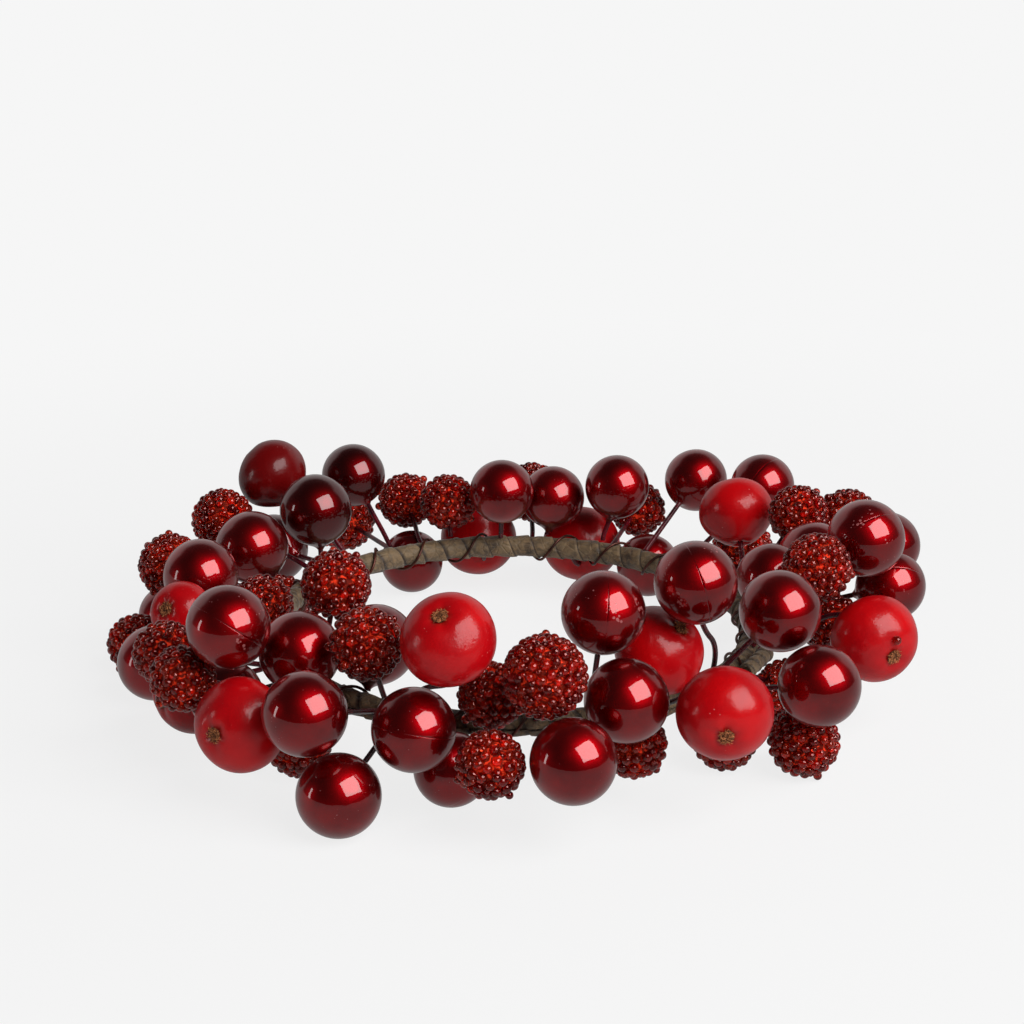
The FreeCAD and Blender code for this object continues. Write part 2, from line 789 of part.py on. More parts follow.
def main():
    nodes = [make_hoop_wire(), make_hoop_tape(), make_binding_wire(), make_taped_tail()]
    apples = [kind for kind in BERRY_KINDS if kind.endswith("apple")]
    makers = {"pearl": make_pearl, "apple": make_apple, "raspberry": make_raspberry}
    masters = {kind: makers[kind.split("_")[1]](kind) for kind in BERRY_KINDS}
    calyxes = {kind: make_calyx(kind) for kind in apples}
    doc.recompute()
    nodes += make_berries(masters, calyxes)
    check(nodes)
    for node in nodes:
        node.Shape.exportStep(os.path.join("parts", f"{node.Label}.step"))
    print(f"{len(nodes)} nodes, {sum(len(node.Shape.Solids) for node in nodes)} solids")


main()
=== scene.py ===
"""The looks of a candle ring: lacquered pearls, satin apples and beaded raspberries on coated wire stems.

Metres, in the frame's own axes. Every piece takes its place and size from the frame's solids.
"""

import json
import math
import random

import bpy
import numpy as np
from bpy.props import FloatProperty, FloatVectorProperty, IntProperty, PointerProperty
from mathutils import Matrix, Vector, noise

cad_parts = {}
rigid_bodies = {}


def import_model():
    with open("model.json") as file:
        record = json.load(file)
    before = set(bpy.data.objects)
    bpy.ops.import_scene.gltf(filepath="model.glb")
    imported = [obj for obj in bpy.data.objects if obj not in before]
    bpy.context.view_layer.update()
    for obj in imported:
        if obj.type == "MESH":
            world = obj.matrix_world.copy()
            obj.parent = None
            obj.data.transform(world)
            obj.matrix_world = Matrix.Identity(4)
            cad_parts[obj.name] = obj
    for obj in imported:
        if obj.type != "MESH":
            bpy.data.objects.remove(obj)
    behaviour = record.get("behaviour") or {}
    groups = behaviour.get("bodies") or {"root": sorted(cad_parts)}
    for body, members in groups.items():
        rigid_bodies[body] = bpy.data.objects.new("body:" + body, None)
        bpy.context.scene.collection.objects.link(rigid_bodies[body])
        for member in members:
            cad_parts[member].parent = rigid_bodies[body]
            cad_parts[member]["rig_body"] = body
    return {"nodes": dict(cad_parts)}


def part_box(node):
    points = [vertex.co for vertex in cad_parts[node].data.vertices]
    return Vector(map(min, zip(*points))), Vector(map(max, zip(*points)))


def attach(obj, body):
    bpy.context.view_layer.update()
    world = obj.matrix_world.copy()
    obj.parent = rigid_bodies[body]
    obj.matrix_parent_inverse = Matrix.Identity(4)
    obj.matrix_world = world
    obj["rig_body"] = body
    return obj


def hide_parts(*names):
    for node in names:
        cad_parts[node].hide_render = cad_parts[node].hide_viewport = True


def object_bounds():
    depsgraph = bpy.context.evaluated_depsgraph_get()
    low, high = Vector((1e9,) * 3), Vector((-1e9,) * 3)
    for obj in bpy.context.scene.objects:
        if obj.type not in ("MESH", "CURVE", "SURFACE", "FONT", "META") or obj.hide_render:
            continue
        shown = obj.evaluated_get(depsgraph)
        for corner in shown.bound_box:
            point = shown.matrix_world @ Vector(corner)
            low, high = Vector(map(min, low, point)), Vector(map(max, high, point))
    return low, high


bl_info = {
    "name": "Candle Ring",
    "version": (1, 0, 0),
    "blender": (4, 5, 0),
    "location": "View3D > Sidebar > Candle Ring",
    "description": "Dresses a berry candle ring: berries, calyxes, taped hoop, stems and stage",
    "category": "Object",
}

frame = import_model()
CAD_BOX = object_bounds()

MM = 0.001
TURN = 2 * math.pi

# What all the colours among the settings have alike
COLOUR = {"subtype": "COLOR", "size": 4, "min": 0, "max": 1}

# How a berry is read from its solid
FITTING_PASSES = 3
SKIN_SHARE = 0.93
SOCKET_SHARE = 0.75
EQUATOR_SHARE = 0.985
APPLE_HEIGHT_SHARE = 0.95

# A berry gets painted shade, a darker colour standing in for shade from what stands in the ring's middle,
# between these angles from the bearing right across from the key lamp
PAINTED_SHADE_FACING = (math.cos(math.radians(26)), math.cos(math.radians(15)))


# The settings that a user changes


class PearlSettings(bpy.types.PropertyGroup):
    """Sizes and colours of the lacquered pearls."""

    lacquer: FloatVectorProperty(
        name="Lacquer", description="Colour of the metallic lacquer",
        default=(0.34, 0.0006, 0.003, 1), **COLOUR)
    shade: FloatVectorProperty(
        name="Shade", description="Colour where the lacquer lies thick",
        default=(0.20, 0.0003, 0.002, 1), **COLOUR)
    # Painted shade: the lacquer colour of the pearls across from the key lamp
    painted_shade: FloatVectorProperty(
        name="Painted shade", description="Darker lacquer of the pearls across from the key lamp",
        default=(0.11, 0.0002, 0.001, 1), **COLOUR)
    neck_height: FloatProperty(
        name="Neck height", description="How far the lacquer climbs up the stem", unit="LENGTH",
        default=1.0 * MM)
    neck_spread: FloatProperty(
        name="Neck spread", description="How far round the stem the lacquer is drawn up", unit="LENGTH",
        default=0.6 * MM)
    dent_depth: FloatProperty(
        name="Dent depth", description="Depth of the shallow dents", unit="LENGTH", default=0.07 * MM)
    seam_depth: FloatProperty(
        name="Seam depth", description="Depth of the mould seam", unit="LENGTH", default=0.05 * MM)
    rings: IntProperty(name="Rings", description="Rings from the stem to the bottom", default=44)
    segments: IntProperty(name="Segments", description="Segments round the pearl", default=64)


class AppleSettings(bpy.types.PropertyGroup):
    """Sizes and colours of the apples and their calyxes."""

    skin: FloatVectorProperty(
        name="Skin", description="Colour of the satin paint",
        default=(0.52, 0.0010, 0.003, 1), **COLOUR)
    blush: FloatVectorProperty(
        name="Blush", description="Second colour of the satin paint",
        default=(0.38, 0.0012, 0.004, 1), **COLOUR)
    # Painted shade: the paint colour of the apples across from the key lamp
    painted_shade: FloatVectorProperty(
        name="Painted shade", description="Darker paint of the apples across from the key lamp",
        default=(0.14, 0.0008, 0.0012, 1), **COLOUR)
    fibre: FloatVectorProperty(
        name="Fibre", description="Colour of the calyx fibres",
        default=(0.62, 0.235, 0.095, 1), **COLOUR)
    husk: FloatVectorProperty(
        name="Husk", description="Dark colour between the calyx fibres",
        default=(0.040, 0.012, 0.006, 1), **COLOUR)
    dimple_depth: FloatProperty(
        name="Dimple depth", description="Depth of the dimples at calyx and stem", unit="LENGTH",
        default=1.1 * MM)
    dimple_spread: FloatProperty(
        name="Dimple spread", description="Reach of the dimples from the axis", unit="LENGTH",
        default=2.7 * MM)
    taper: FloatProperty(
        name="Taper", description="How much narrower the stem side is, as a share", default=0.30)
    dent_depth: FloatProperty(
        name="Dent depth", description="Depth of the dents", unit="LENGTH", default=0.36 * MM)
    ripple_depth: FloatProperty(
        name="Ripple depth", description="Depth of the small unevenness", unit="LENGTH",
        default=0.045 * MM)
    calyx_radius: FloatProperty(
        name="Calyx radius", description="Reach of the calyx fibres", unit="LENGTH", default=1.5 * MM)
    fibres: IntProperty(name="Fibres", description="Fibres in one calyx", default=110)
    crumbs: IntProperty(name="Crumbs", description="Broken bits in one calyx", default=22)
    rings: IntProperty(name="Rings", description="Rings from the calyx to the stem", default=76)
    segments: IntProperty(name="Segments", description="Segments round the apple", default=96)


class RaspberrySettings(bpy.types.PropertyGroup):
    """Sizes and colours of the beaded raspberries."""

    garnet: FloatVectorProperty(
        name="Garnet", description="Colour of the darkest beads",
        default=(0.28, 0.0005, 0.0008, 1), **COLOUR)
    amber: FloatVectorProperty(
        name="Amber", description="Colour of the lightest beads",
        default=(1.0, 0.065, 0.020, 1), **COLOUR)
    # This is the colour of the painted glints on the ball; the rest of the ball is a darker share of it
    core: FloatVectorProperty(
        name="Core", description="Colour of the painted ball under the beads",
        default=(1.0, 0.05, 0.014, 1), **COLOUR)
    bead_growth: FloatProperty(
        name="Bead growth", description="How much wider a bead is than in its solid", default=1.12)
    bead_spread: FloatProperty(
        name="Bead spread", description="How far the beads' radii differ, as a share", default=0.10)
    bead_jitter: FloatProperty(
        name="Bead jitter", description="How far a bead strays, as a share of its radius", default=0.30)
    small_bead: FloatProperty(
        name="Small bead", description="Radius of the small beads between", unit="LENGTH",
        default=0.62 * MM)
    small_share: FloatProperty(
        name="Small share", description="Small beads for each bead of the solid", default=0.5)
    proud_beads: IntProperty(
        name="Proud beads", description="Beads that stand out from each raspberry", default=4)


class HoopSettings(bpy.types.PropertyGroup):
    """Sizes and colours of the taped hoop, the stems and the binding wire."""

    paper: FloatVectorProperty(
        name="Paper", description="Colour of the paper tape",
        default=(0.175, 0.108, 0.050, 1), **COLOUR)
    # Painted shade: the colour the tape gets in the hollows of its crinkle and under the edge of each lap
    painted_fold_shade: FloatVectorProperty(
        name="Painted fold shade", description="Darker colour in the tape's folds",
        default=(0.034, 0.019, 0.009, 1), **COLOUR)
    coating: FloatVectorProperty(
        name="Coating", description="Colour of the stems' coating",
        default=(0.115, 0.004, 0.010, 1), **COLOUR)
    coating_dark: FloatVectorProperty(
        name="Dark coating", description="Darker colour of the stems' coating",
        default=(0.035, 0.002, 0.005, 1), **COLOUR)
    wire: FloatVectorProperty(
        name="Wire", description="Colour of the binding wire's lacquer",
        default=(0.110, 0.030, 0.018, 1), **COLOUR)
    laps: IntProperty(name="Laps", description="Laps of tape round the hoop", default=58)
    lap_step: FloatProperty(
        name="Lap step", description="Height of the edge of each lap", unit="LENGTH", default=0.34 * MM)
    crease_depth: FloatProperty(
        name="Crease depth", description="Depth of the paper's creases", unit="LENGTH",
        default=0.26 * MM)


class StageSettings(bpy.types.PropertyGroup):
    """The camera, the lights and the backdrop."""

    camera_place: FloatVectorProperty(
        name="Camera", description="Where the camera stands", subtype="TRANSLATION",
        size=3, default=(0.0, -0.482, 0.205))
    camera_pitch: FloatProperty(
        name="Pitch", description="How far the camera looks down", subtype="ANGLE",
        default=math.radians(19))
    lens: FloatProperty(name="Lens", description="Focal length in millimetres", default=85.0)
    key_power: FloatProperty(name="Key", description="Power of the large soft lamp", default=12.6)
    strip_power: FloatProperty(name="Strip", description="Power of the narrow lamp", default=0.5)
    room: FloatProperty(name="Room", description="Strength of the light from the dim room", default=0.03)
    backdrop: FloatVectorProperty(
        name="Backdrop", description="Colour of the backdrop and the floor",
        default=(0.921, 0.921, 0.921, 1), **COLOUR)


# Reading the frame


def patches_of(node, joined=True):
    """The points of each connected part of a CAD node: its solids or, if not joined, its faces."""
    mesh = frame["nodes"][node].data
    points = np.empty(len(mesh.vertices) * 3)
    mesh.vertices.foreach_get("co", points)
    points = points.reshape(-1, 3)
    same = np.arange(len(points))
    if joined:
        same = np.unique(np.round(points, 6), axis=0, return_inverse=True)[1].ravel()
    ends = np.empty(len(mesh.edges) * 2, int)
    mesh.edges.foreach_get("vertices", ends)
    ends = same[ends.reshape(-1, 2)]
    labels = np.arange(same.max() + 1)
    while True:
        lowest = labels.copy()
        np.minimum.at(lowest, ends[:, 0], labels[ends[:, 1]])
        np.minimum.at(lowest, ends[:, 1], labels[ends[:, 0]])
        lowest = lowest[lowest]
        if (lowest == labels).all():
            break
        labels = lowest
    marks = labels[same]
    order = np.argsort(marks, kind="stable")
    return [points[part] for part in np.split(order, np.flatnonzero(np.diff(marks[order])) + 1)]


def fitted_ball(points):
    """The centre and the radius of the ball that points lie on."""
    middle = points.mean(0)
    local = points - middle
    rows = np.column_stack((2 * local, np.ones(len(local))))
    fit = np.linalg.lstsq(rows, (local ** 2).sum(1), rcond=None)[0]
    return middle + fit[:3], math.sqrt(fit[3] + fit[:3] @ fit[:3])


def unit(direction):
    """A direction at length 1."""
    return direction / np.linalg.norm(direction)


def turn_to(direction):
    """The rotation that takes +Z to a direction, as an array."""
    return np.array(Vector(direction).to_track_quat("Z", "Y").to_matrix())


class Berry:
    """A berry's centre, radius and stem direction, read from its solid."""

    def __init__(self, points):
        kept = points
        for _ in range(FITTING_PASSES):
            self.centre, self.radius = fitted_ball(kept)
            reach = np.linalg.norm(points - self.centre, axis=1)
            kept = points[reach > SKIN_SHARE * self.radius]
        self.stem = unit(points[reach < SOCKET_SHARE * self.radius].mean(0) - self.centre)
        self.turn = turn_to(self.stem)

    def settle_apple(self, points):
        """Take the apple's own radius and middle, because it isn't a ball."""
        rise = (points - self.centre) @ self.stem
        across = np.linalg.norm(points - self.centre - np.outer(rise, self.stem), axis=1)
        self.radius = across.max()
        middle = rise[across > EQUATOR_SHARE * self.radius]
        self.centre = self.centre + self.stem * (middle.max() + middle.min()) / 2
        self.half_height = APPLE_HEIGHT_SHARE * self.radius

    def painted_shade_share(self):
        """1 for a berry right across the ring from the key lamp, which gets a darker colour as painted
        shade.
        """
        facing = unit(self.centre[:2]) @ unit(-np.array(KEY_DIRECTION[:2]))
        return float(np.interp(facing, PAINTED_SHADE_FACING, (0, 1)))

    def place(self, points):
        """Points of the berry's own frame, with +Z to its stem, set down in the ring."""
        return points @ self.turn.T + self.centre

    def local(self, direction):
        """A direction of the ring in the berry's own frame."""
        return np.array(direction) @ self.turn


def nodes_ending(*endings):
    """The CAD nodes whose names end like this."""
    return sorted(name for name in frame["nodes"] if name.endswith(endings))


def body_of(node):
    """The body that a CAD node rides on."""
    return frame["nodes"][node]["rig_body"]


# Building meshes

# How much the bumps of a surface differ, as shares of the spread and depth that it asks for
BUMP_WIDTHS = (0.5, 1.5)
BUMP_DEPTHS = (-1, 0.7)


class Shells:
    """Closed shells gathered into one mesh, with named numbers kept for each point."""

    def __init__(self):
        self.points = []
        self.faces = []
        self.marks = {}
        self.count = 0

    def add(self, points, faces, **marks):
        """Add a shell and its marks, each one number or one for each point."""
        for name, values in marks.items():
            self.marks.setdefault(name, []).append(np.broadcast_to(values, len(points)))
        self.points.append(points)
        self.faces += [tuple(self.count + corner for corner in face) for face in faces]
        self.count += len(points)

    def build(self, name, material, slot, body, *replaced):
        """Make the object, and set it in the place of its CAD nodes."""
        mesh = bpy.data.meshes.new(name)
        mesh.from_pydata(np.concatenate(self.points).tolist(), [], self.faces)
        for mark, values in self.marks.items():
            attribute = mesh.attributes.new(mark, "FLOAT", "POINT")
            attribute.data.foreach_set("value", np.concatenate(values).astype(np.float32))
        mesh.shade_smooth()
        mesh.materials.append(material)
        piece = bpy.data.objects.new(name, mesh)
        bpy.context.scene.collection.objects.link(piece)
        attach(piece, body)
        if replaced:
            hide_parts(*replaced)


def flipped(faces):
    """The same faces, seen from the other side."""
    return [tuple(reversed(face)) for face in faces]


def ring_faces(rings, segments, first):
    """The faces between rings of points, which all have the same number of segments."""
    faces = []
    for ring in range(rings - 1):
        low = first + ring * segments
        high = low + segments
        for step in range(segments):
            after = (step + 1) % segments
            faces.append((low + step, low + after, high + after, high + step))
    return faces


def capped_faces(rings, segments):
    """The faces of a shell of rings, closed by one point before them and one after."""
    faces = flipped(ring_faces(rings, segments, first=1))
    last = 1 + (rings - 1) * segments
    end = 1 + rings * segments
    for step in range(segments):
        after = (step + 1) % segments
        faces.append((0, 1 + step, 1 + after))
        faces.append((end, last + after, last + step))
    return faces


def unit_rings(polar, azimuths):
    """Unit directions in rings about +Z, at these angles from it."""
    polar = np.repeat(polar, len(azimuths))
    azimuths = np.tile(azimuths, len(polar) // len(azimuths))
    return np.column_stack((np.sin(polar) * np.cos(azimuths),
                            np.sin(polar) * np.sin(azimuths),
                            np.cos(polar)))


def random_direction(draw):
    """A unit direction, any way alike."""
    return unit(np.array([draw.gauss(0, 1) for _ in range(3)]))


def random_shift(draw, most):
    """A small shift, at most this far along each axis."""
    return np.array([draw.uniform(-most, most) for _ in range(3)])


def bumps(directions, draw, count, depth, spread):
    """Shallow dents and swellings of a surface, at unit directions from its centre."""
    height = np.zeros(len(directions))
    for _ in range(count):
        middle = random_direction(draw)
        width = spread * draw.uniform(*BUMP_WIDTHS)
        height += depth * draw.uniform(*BUMP_DEPTHS) * np.exp((directions @ middle - 1) / width)
    return height


def crumple(points, scale):
    """Smooth noise at points, about zero."""
    return np.array([noise.noise(Vector(point) * scale) for point in points])


# Shader nodes

# A Mix node's colour sockets, by place, because its other kinds have the same names
MIX_FACTOR = 0
MIX_FIRST = 6
MIX_SECOND = 7
MIX_RESULT = 2


def add_node(tree, kind, inputs=None, **settings):
    """Add a shader node, set it up and link or fill its inputs."""
    item = tree.nodes.new(kind)
    for name, value in settings.items():
        setattr(item, name, value)
    for name, value in (inputs or {}).items():
        if isinstance(value, bpy.types.NodeSocket):
            tree.links.new(value, item.inputs[name])
        else:
            item.inputs[name].default_value = value
    return item


def maths(tree, operation, *values):
    """A Math node's output."""
    return add_node(tree, "ShaderNodeMath", dict(enumerate(values)), operation=operation).outputs[0]


def blended(tree, factor, first, second):
    """Two colours mixed by a factor."""
    inputs = {MIX_FACTOR: factor, MIX_FIRST: first, MIX_SECOND: second}
    return add_node(tree, "ShaderNodeMix", inputs, data_type="RGBA").outputs[MIX_RESULT]


def spanned(tree, value, low, high, first=0.0, last=1.0):
    """A value that goes from first to last while another goes from low to high."""
    return add_node(tree, "ShaderNodeMapRange",
                    {"Value": value, "From Min": low, "From Max": high, "To Min": first, "To Max": last},
                    interpolation_type="SMOOTHSTEP").outputs[0]


def darker(colour, share):
    """A colour with this share of its light."""
    return tuple(share * channel for channel in colour[:3]) + (1,)


# Effects that several materials share

# How many times as wide as a speck a patch of specks is
SPECK_PATCH = 5.0

# Paper's folds: their share of the crinkle's scale, and of its height
FOLD_SCALE_SHARE = 0.7
FOLD_RIDGE_SHARE = 0.4


def effect(name, inputs, outputs):
    """A new shader node group with named sockets, and the sockets of its two end nodes."""
    tree = bpy.data.node_groups.new(name, "ShaderNodeTree")
    for label, default in inputs.items():
        socket = tree.interface.new_socket(label, in_out="INPUT", socket_type="NodeSocketFloat")
        socket.default_value = default
    for label in outputs:
        tree.interface.new_socket(label, in_out="OUTPUT", socket_type="NodeSocketFloat")
    return tree, add_node(tree, "NodeGroupInput").outputs, add_node(tree, "NodeGroupOutput").inputs


def shifted_place(tree, seed):
    """The place on the object, moved by a seed so that no two berries look alike."""
    place = add_node(tree, "ShaderNodeTexCoord").outputs["Object"]
    shift = add_node(tree, "ShaderNodeCombineXYZ", {"X": seed, "Y": seed, "Z": seed})
    return add_node(tree, "ShaderNodeVectorMath", {0: place, 1: shift.outputs[0]},
                    operation="ADD").outputs[0]


def make_mottle():
    """Soft cloudy variation."""
    tree, start, end = effect("Mottle", {"Scale": 150.0, "Seed": 0.0}, ["Mask"])
    cloud = add_node(tree, "ShaderNodeTexNoise",
                     {"Vector": shifted_place(tree, start["Seed"]), "Scale": start["Scale"],
                      "Detail": 3.0, "Roughness": 0.55})
    tree.links.new(spanned(tree, cloud.outputs[0], low=0.32, high=0.68), end["Mask"])
    return tree


def make_specks():
    """Scattered fine specks, as of dust and chipped lacquer."""
    tree, start, end = effect("Specks", {"Scale": 1500.0, "Amount": 0.2, "Seed": 0.0}, ["Mask"])
    place = shifted_place(tree, start["Seed"])
    grain = add_node(tree, "ShaderNodeTexVoronoi", {"Vector": place, "Scale": start["Scale"]})
    patch = add_node(tree, "ShaderNodeTexNoise",
                     {"Vector": place, "Scale": maths(tree, "DIVIDE", start["Scale"], SPECK_PATCH)})
    grow = maths(tree, "MULTIPLY", start["Amount"], spanned(tree, patch.outputs[0], low=0.48, high=0.72))
    near = maths(tree, "SUBTRACT", grow, grain.outputs["Distance"])
    tree.links.new(spanned(tree, near, low=-0.02, high=0.06), end["Mask"])
    return tree


def make_crinkle():
    """Crinkled paper: its tone and its height. The tone follows the height's fine noise: as a darkening it
    is painted shade in the hollows, as a brightening a painted glint on the rises.
    """
    tree, start, end = effect("Crinkle", {"Scale": 700.0, "Seed": 0.0}, ["Tone", "Height"])
    place = shifted_place(tree, start["Seed"])
    fine = add_node(tree, "ShaderNodeTexNoise",
                    {"Vector": place, "Scale": start["Scale"], "Detail": 6.0, "Roughness": 0.7,
                     "Distortion": 0.6})
    folds = add_node(tree, "ShaderNodeTexVoronoi",
                     {"Vector": place, "Scale": maths(tree, "MULTIPLY", start["Scale"], FOLD_SCALE_SHARE)},
                     feature="DISTANCE_TO_EDGE")
    ridge = spanned(tree, folds.outputs["Distance"], low=0.0, high=0.12)
    tree.links.new(spanned(tree, fine.outputs[0], low=0.35, high=0.65), end["Tone"])
    tree.links.new(maths(tree, "MULTIPLY_ADD", ridge, FOLD_RIDGE_SHARE, fine.outputs[0]), end["Height"])
    return tree


def make_orange_peel():
    """The faint unevenness of sprayed paint, as a height."""
    tree, start, end = effect("Orange Peel", {"Scale": 900.0, "Seed": 0.0}, ["Height"])
    peel = add_node(tree, "ShaderNodeTexNoise",
                    {"Vector": shifted_place(tree, start["Seed"]), "Scale": start["Scale"],
                     "Detail": 2.0})
    tree.links.new(peel.outputs[0], end["Height"])
    return tree


EFFECT_MAKERS = {
    "Mottle": make_mottle,
    "Specks": make_specks,
    "Crinkle": make_crinkle,
    "Orange Peel": make_orange_peel,
}


# Materials

CHIPPED_LACQUER = (0.55, 0.22, 0.22, 1)
DIMPLE_BROWN = (0.16, 0.012, 0.006, 1)
DUSTY_PAINT = (0.62, 0.20, 0.19, 1)
GLASS_GLEAM = (1.0, 0.52, 0.50, 1)
WAXED_PAPER = (0.25, 0.170, 0.085, 1)
SCUFFED_PLASTIC = (0.30, 0.06, 0.06, 1)


class Finish:
    """A new material, with short ways to feed its Principled shader."""

    def __init__(self, name):
        material = bpy.data.materials.new(name)
        material.use_nodes = True
        self.tree = material.node_tree
        self.shader = self.tree.nodes["Principled BSDF"]

    def plain(self, **numbers):
        """Set what is the same all over on the shader's own sockets."""
        for socket, value in numbers.items():
            self.shader.inputs[socket.replace("_", " ")].default_value = value

    def feed(self, **values):
        """Link what changes over the surface to the shader's sockets."""
        for socket, value in values.items():
            self.tree.links.new(value, self.shader.inputs[socket.replace("_", " ")])

    def mark(self, name):
        """A number that the mesh keeps for each point."""
        return add_node(self.tree, "ShaderNodeAttribute", attribute_name=name).outputs["Fac"]

    def effect(self, name, **inputs):
        """Place a shared effect with this material's own values, and give its outputs."""
        group = bpy.data.node_groups.get(name) or EFFECT_MAKERS[name]()
        return add_node(self.tree, "ShaderNodeGroup", inputs, node_tree=group).outputs

    def mixed(self, first, second, mask, most=1.0):
        """A colour that turns into a second one by a mask, and at most by this share."""
        if most < 1:
            mask = maths(self.tree, "MULTIPLY", mask, most)
        return blended(self.tree, mask, first, second)

    def changed(self, number, mask, by):
        """A number or height with this much added where a mask is 1."""
        return maths(self.tree, "MULTIPLY_ADD", mask, by, number)

    def bump(self, height, *sockets, strength, depth, below=None):
        """Raise the surface, its coat or both a little by a height, over the bump below it."""
        inputs = {"Height": height, "Strength": strength, "Distance": depth}
        if below is not None:
            inputs["Normal"] = below
        bump = add_node(self.tree, "ShaderNodeBump", inputs).outputs[0]
        for socket in sockets:
            self.tree.links.new(bump, self.shader.inputs[socket])
        return bump


def made_once(paint):
    """Turn a function that paints a finish into one that gives its material, painted only once."""
    def material(settings):
        name = f"{paint.__name__}_finish"
        if name not in bpy.data.materials:
            paint(Finish(name), settings)
        return bpy.data.materials[name]
    return material


@made_once
def pearl_lacquer(finish, settings):
    """Candy lacquer: a metallic red base under a clear gloss coat, with pale chips, and painted shade on
    the pearls across from the key lamp.
    """
    finish.plain(Metallic=1.0, Coat_Roughness=0.025, Coat_IOR=1.55)
    seed = finish.mark("berry")
    cloud = finish.effect("Mottle", Scale=120.0, Seed=seed)["Mask"]
    flake = finish.effect("Specks", Scale=5200.0, Amount=0.5, Seed=seed)["Mask"]
    chips = finish.effect("Specks", Scale=1300.0, Amount=finish.mark("wear"), Seed=seed)["Mask"]
    flow = finish.effect("Orange Peel", Scale=420.0, Seed=seed)["Height"]
    thick = spanned(finish.tree, finish.mark("neck"), low=0.0, high=1.0)
    colour = finish.mixed(settings.lacquer, settings.shade, cloud)
    # Painted shade on the pearls across from the key lamp
    colour = finish.mixed(colour, settings.painted_shade, finish.mark("painted_shade"))
    colour = finish.mixed(colour, settings.shade, thick)
    colour = finish.mixed(colour, CHIPPED_LACQUER, chips, most=0.75)
    rough = finish.changed(finish.changed(0.42, flake, by=0.06), chips, by=0.3)
    finish.feed(Base_Color=colour, Roughness=rough, Coat_Weight=finish.changed(1.0, chips, by=-0.6))
    wave = finish.bump(flow, "Coat Normal", strength=0.5, depth=0.05 * MM)
    finish.bump(flake, "Normal", strength=0.12, depth=0.02 * MM, below=wave)


@made_once
def apple_skin(finish, settings):
    """Satin paint over foam, browner in the calyx dimple, with specks of dust, and painted shade on the
    apples across from the key lamp.
    """
    finish.plain(Specular_IOR_Level=0.08, Coat_Weight=0.5, Coat_Roughness=0.18)
    seed = finish.mark("berry")
    cloud = finish.effect("Mottle", Scale=90.0, Seed=seed)["Mask"]
    dust = finish.effect("Specks", Scale=900.0, Amount=0.16, Seed=seed)["Mask"]
    flow = finish.effect("Orange Peel", Scale=330.0, Seed=seed)["Height"]
    peel = finish.effect("Orange Peel", Scale=2400.0, Seed=seed)["Height"]
    colour = finish.mixed(settings.skin, settings.blush, cloud)
    # Painted shade on the apples across from the key lamp
    colour = finish.mixed(colour, settings.painted_shade, finish.mark("painted_shade"))
    colour = finish.mixed(colour, DIMPLE_BROWN, finish.mark("dimple"))
    colour = finish.mixed(colour, DUSTY_PAINT, dust, most=0.5)
    finish.feed(Base_Color=colour, Roughness=finish.changed(0.40, cloud, by=0.07))
    height = finish.changed(peel, flow, by=5.0)
    finish.bump(height, "Normal", "Coat Normal", strength=0.5, depth=0.05 * MM)


@made_once
def dried_calyx(finish, settings):
    """Dried brown fibres, darker in the hollows of their crinkle as painted shade."""
    finish.plain(Roughness=0.75, Specular_IOR_Level=0.15)
    crinkle = finish.effect("Crinkle", Scale=2600.0, Seed=finish.mark("berry"))
    # Painted shade: the crinkle's tone pulls the colour towards the husk in the bump's hollows
    tone = maths(finish.tree, "MULTIPLY", crinkle["Tone"], finish.mark("fibre"))
    finish.feed(Base_Color=finish.mixed(settings.husk, settings.fibre, tone))
    finish.bump(crinkle["Height"], "Normal", strength=0.6, depth=0.05 * MM)


@made_once
def glass_beads(finish, settings):
    """Translucent red glass."""
    finish.plain(Roughness=0.015, IOR=1.75, Transmission_Weight=0.88, Specular_Tint=GLASS_GLEAM)
    tint = finish.mark("tint")
    peel = finish.effect("Orange Peel", Scale=1600.0, Seed=tint)["Height"]
    finish.feed(Base_Color=finish.mixed(settings.garnet, settings.amber, tint))
    finish.bump(peel, "Normal", strength=0.15, depth=0.03 * MM)


@made_once
def bead_core_and_painted_glints(finish, settings):
    """The painted ball and the glue between the beads, dark with bright painted glints that stand in for
    light through the beads.
    """
    finish.plain(Specular_IOR_Level=0.1)
    crinkle = finish.effect("Crinkle", Scale=900.0, Seed=finish.mark("berry"))
    # Painted glints: the ball is brightest where the crinkle rises, standing in for light through the
    # beads
    painted_glint = spanned(finish.tree, crinkle["Tone"], low=0.45, high=0.8)
    finish.feed(Base_Color=finish.mixed(darker(settings.core, 0.15), settings.core, painted_glint),
                Roughness=finish.changed(0.6, crinkle["Tone"], by=0.25))
    finish.bump(crinkle["Height"], "Normal", strength=0.5, depth=0.1 * MM)


@made_once
def paper_tape(finish, settings):
    """Waxed crepe paper tape, with painted shade in the hollows of its crinkle and under the edge of each
    lap.
    """
    finish.plain(Sheen_Weight=0.15)
    crinkle = finish.effect("Crinkle", Scale=620.0)
    cloud = finish.effect("Mottle", Scale=160.0)["Mask"]
    # Painted shade in the crinkle's hollows, where its tone is low
    colour = finish.mixed(settings.painted_fold_shade, settings.paper, crinkle["Tone"])
    colour = finish.mixed(colour, WAXED_PAPER, cloud, most=0.45)
    # Painted shade under the edge of each lap
    colour = finish.mixed(colour, settings.painted_fold_shade, finish.mark("lap_edge_shade"))
    finish.feed(Base_Color=colour, Roughness=finish.changed(0.5, crinkle["Tone"], by=0.2))
    finish.bump(crinkle["Height"], "Normal", strength=0.9, depth=0.28 * MM)


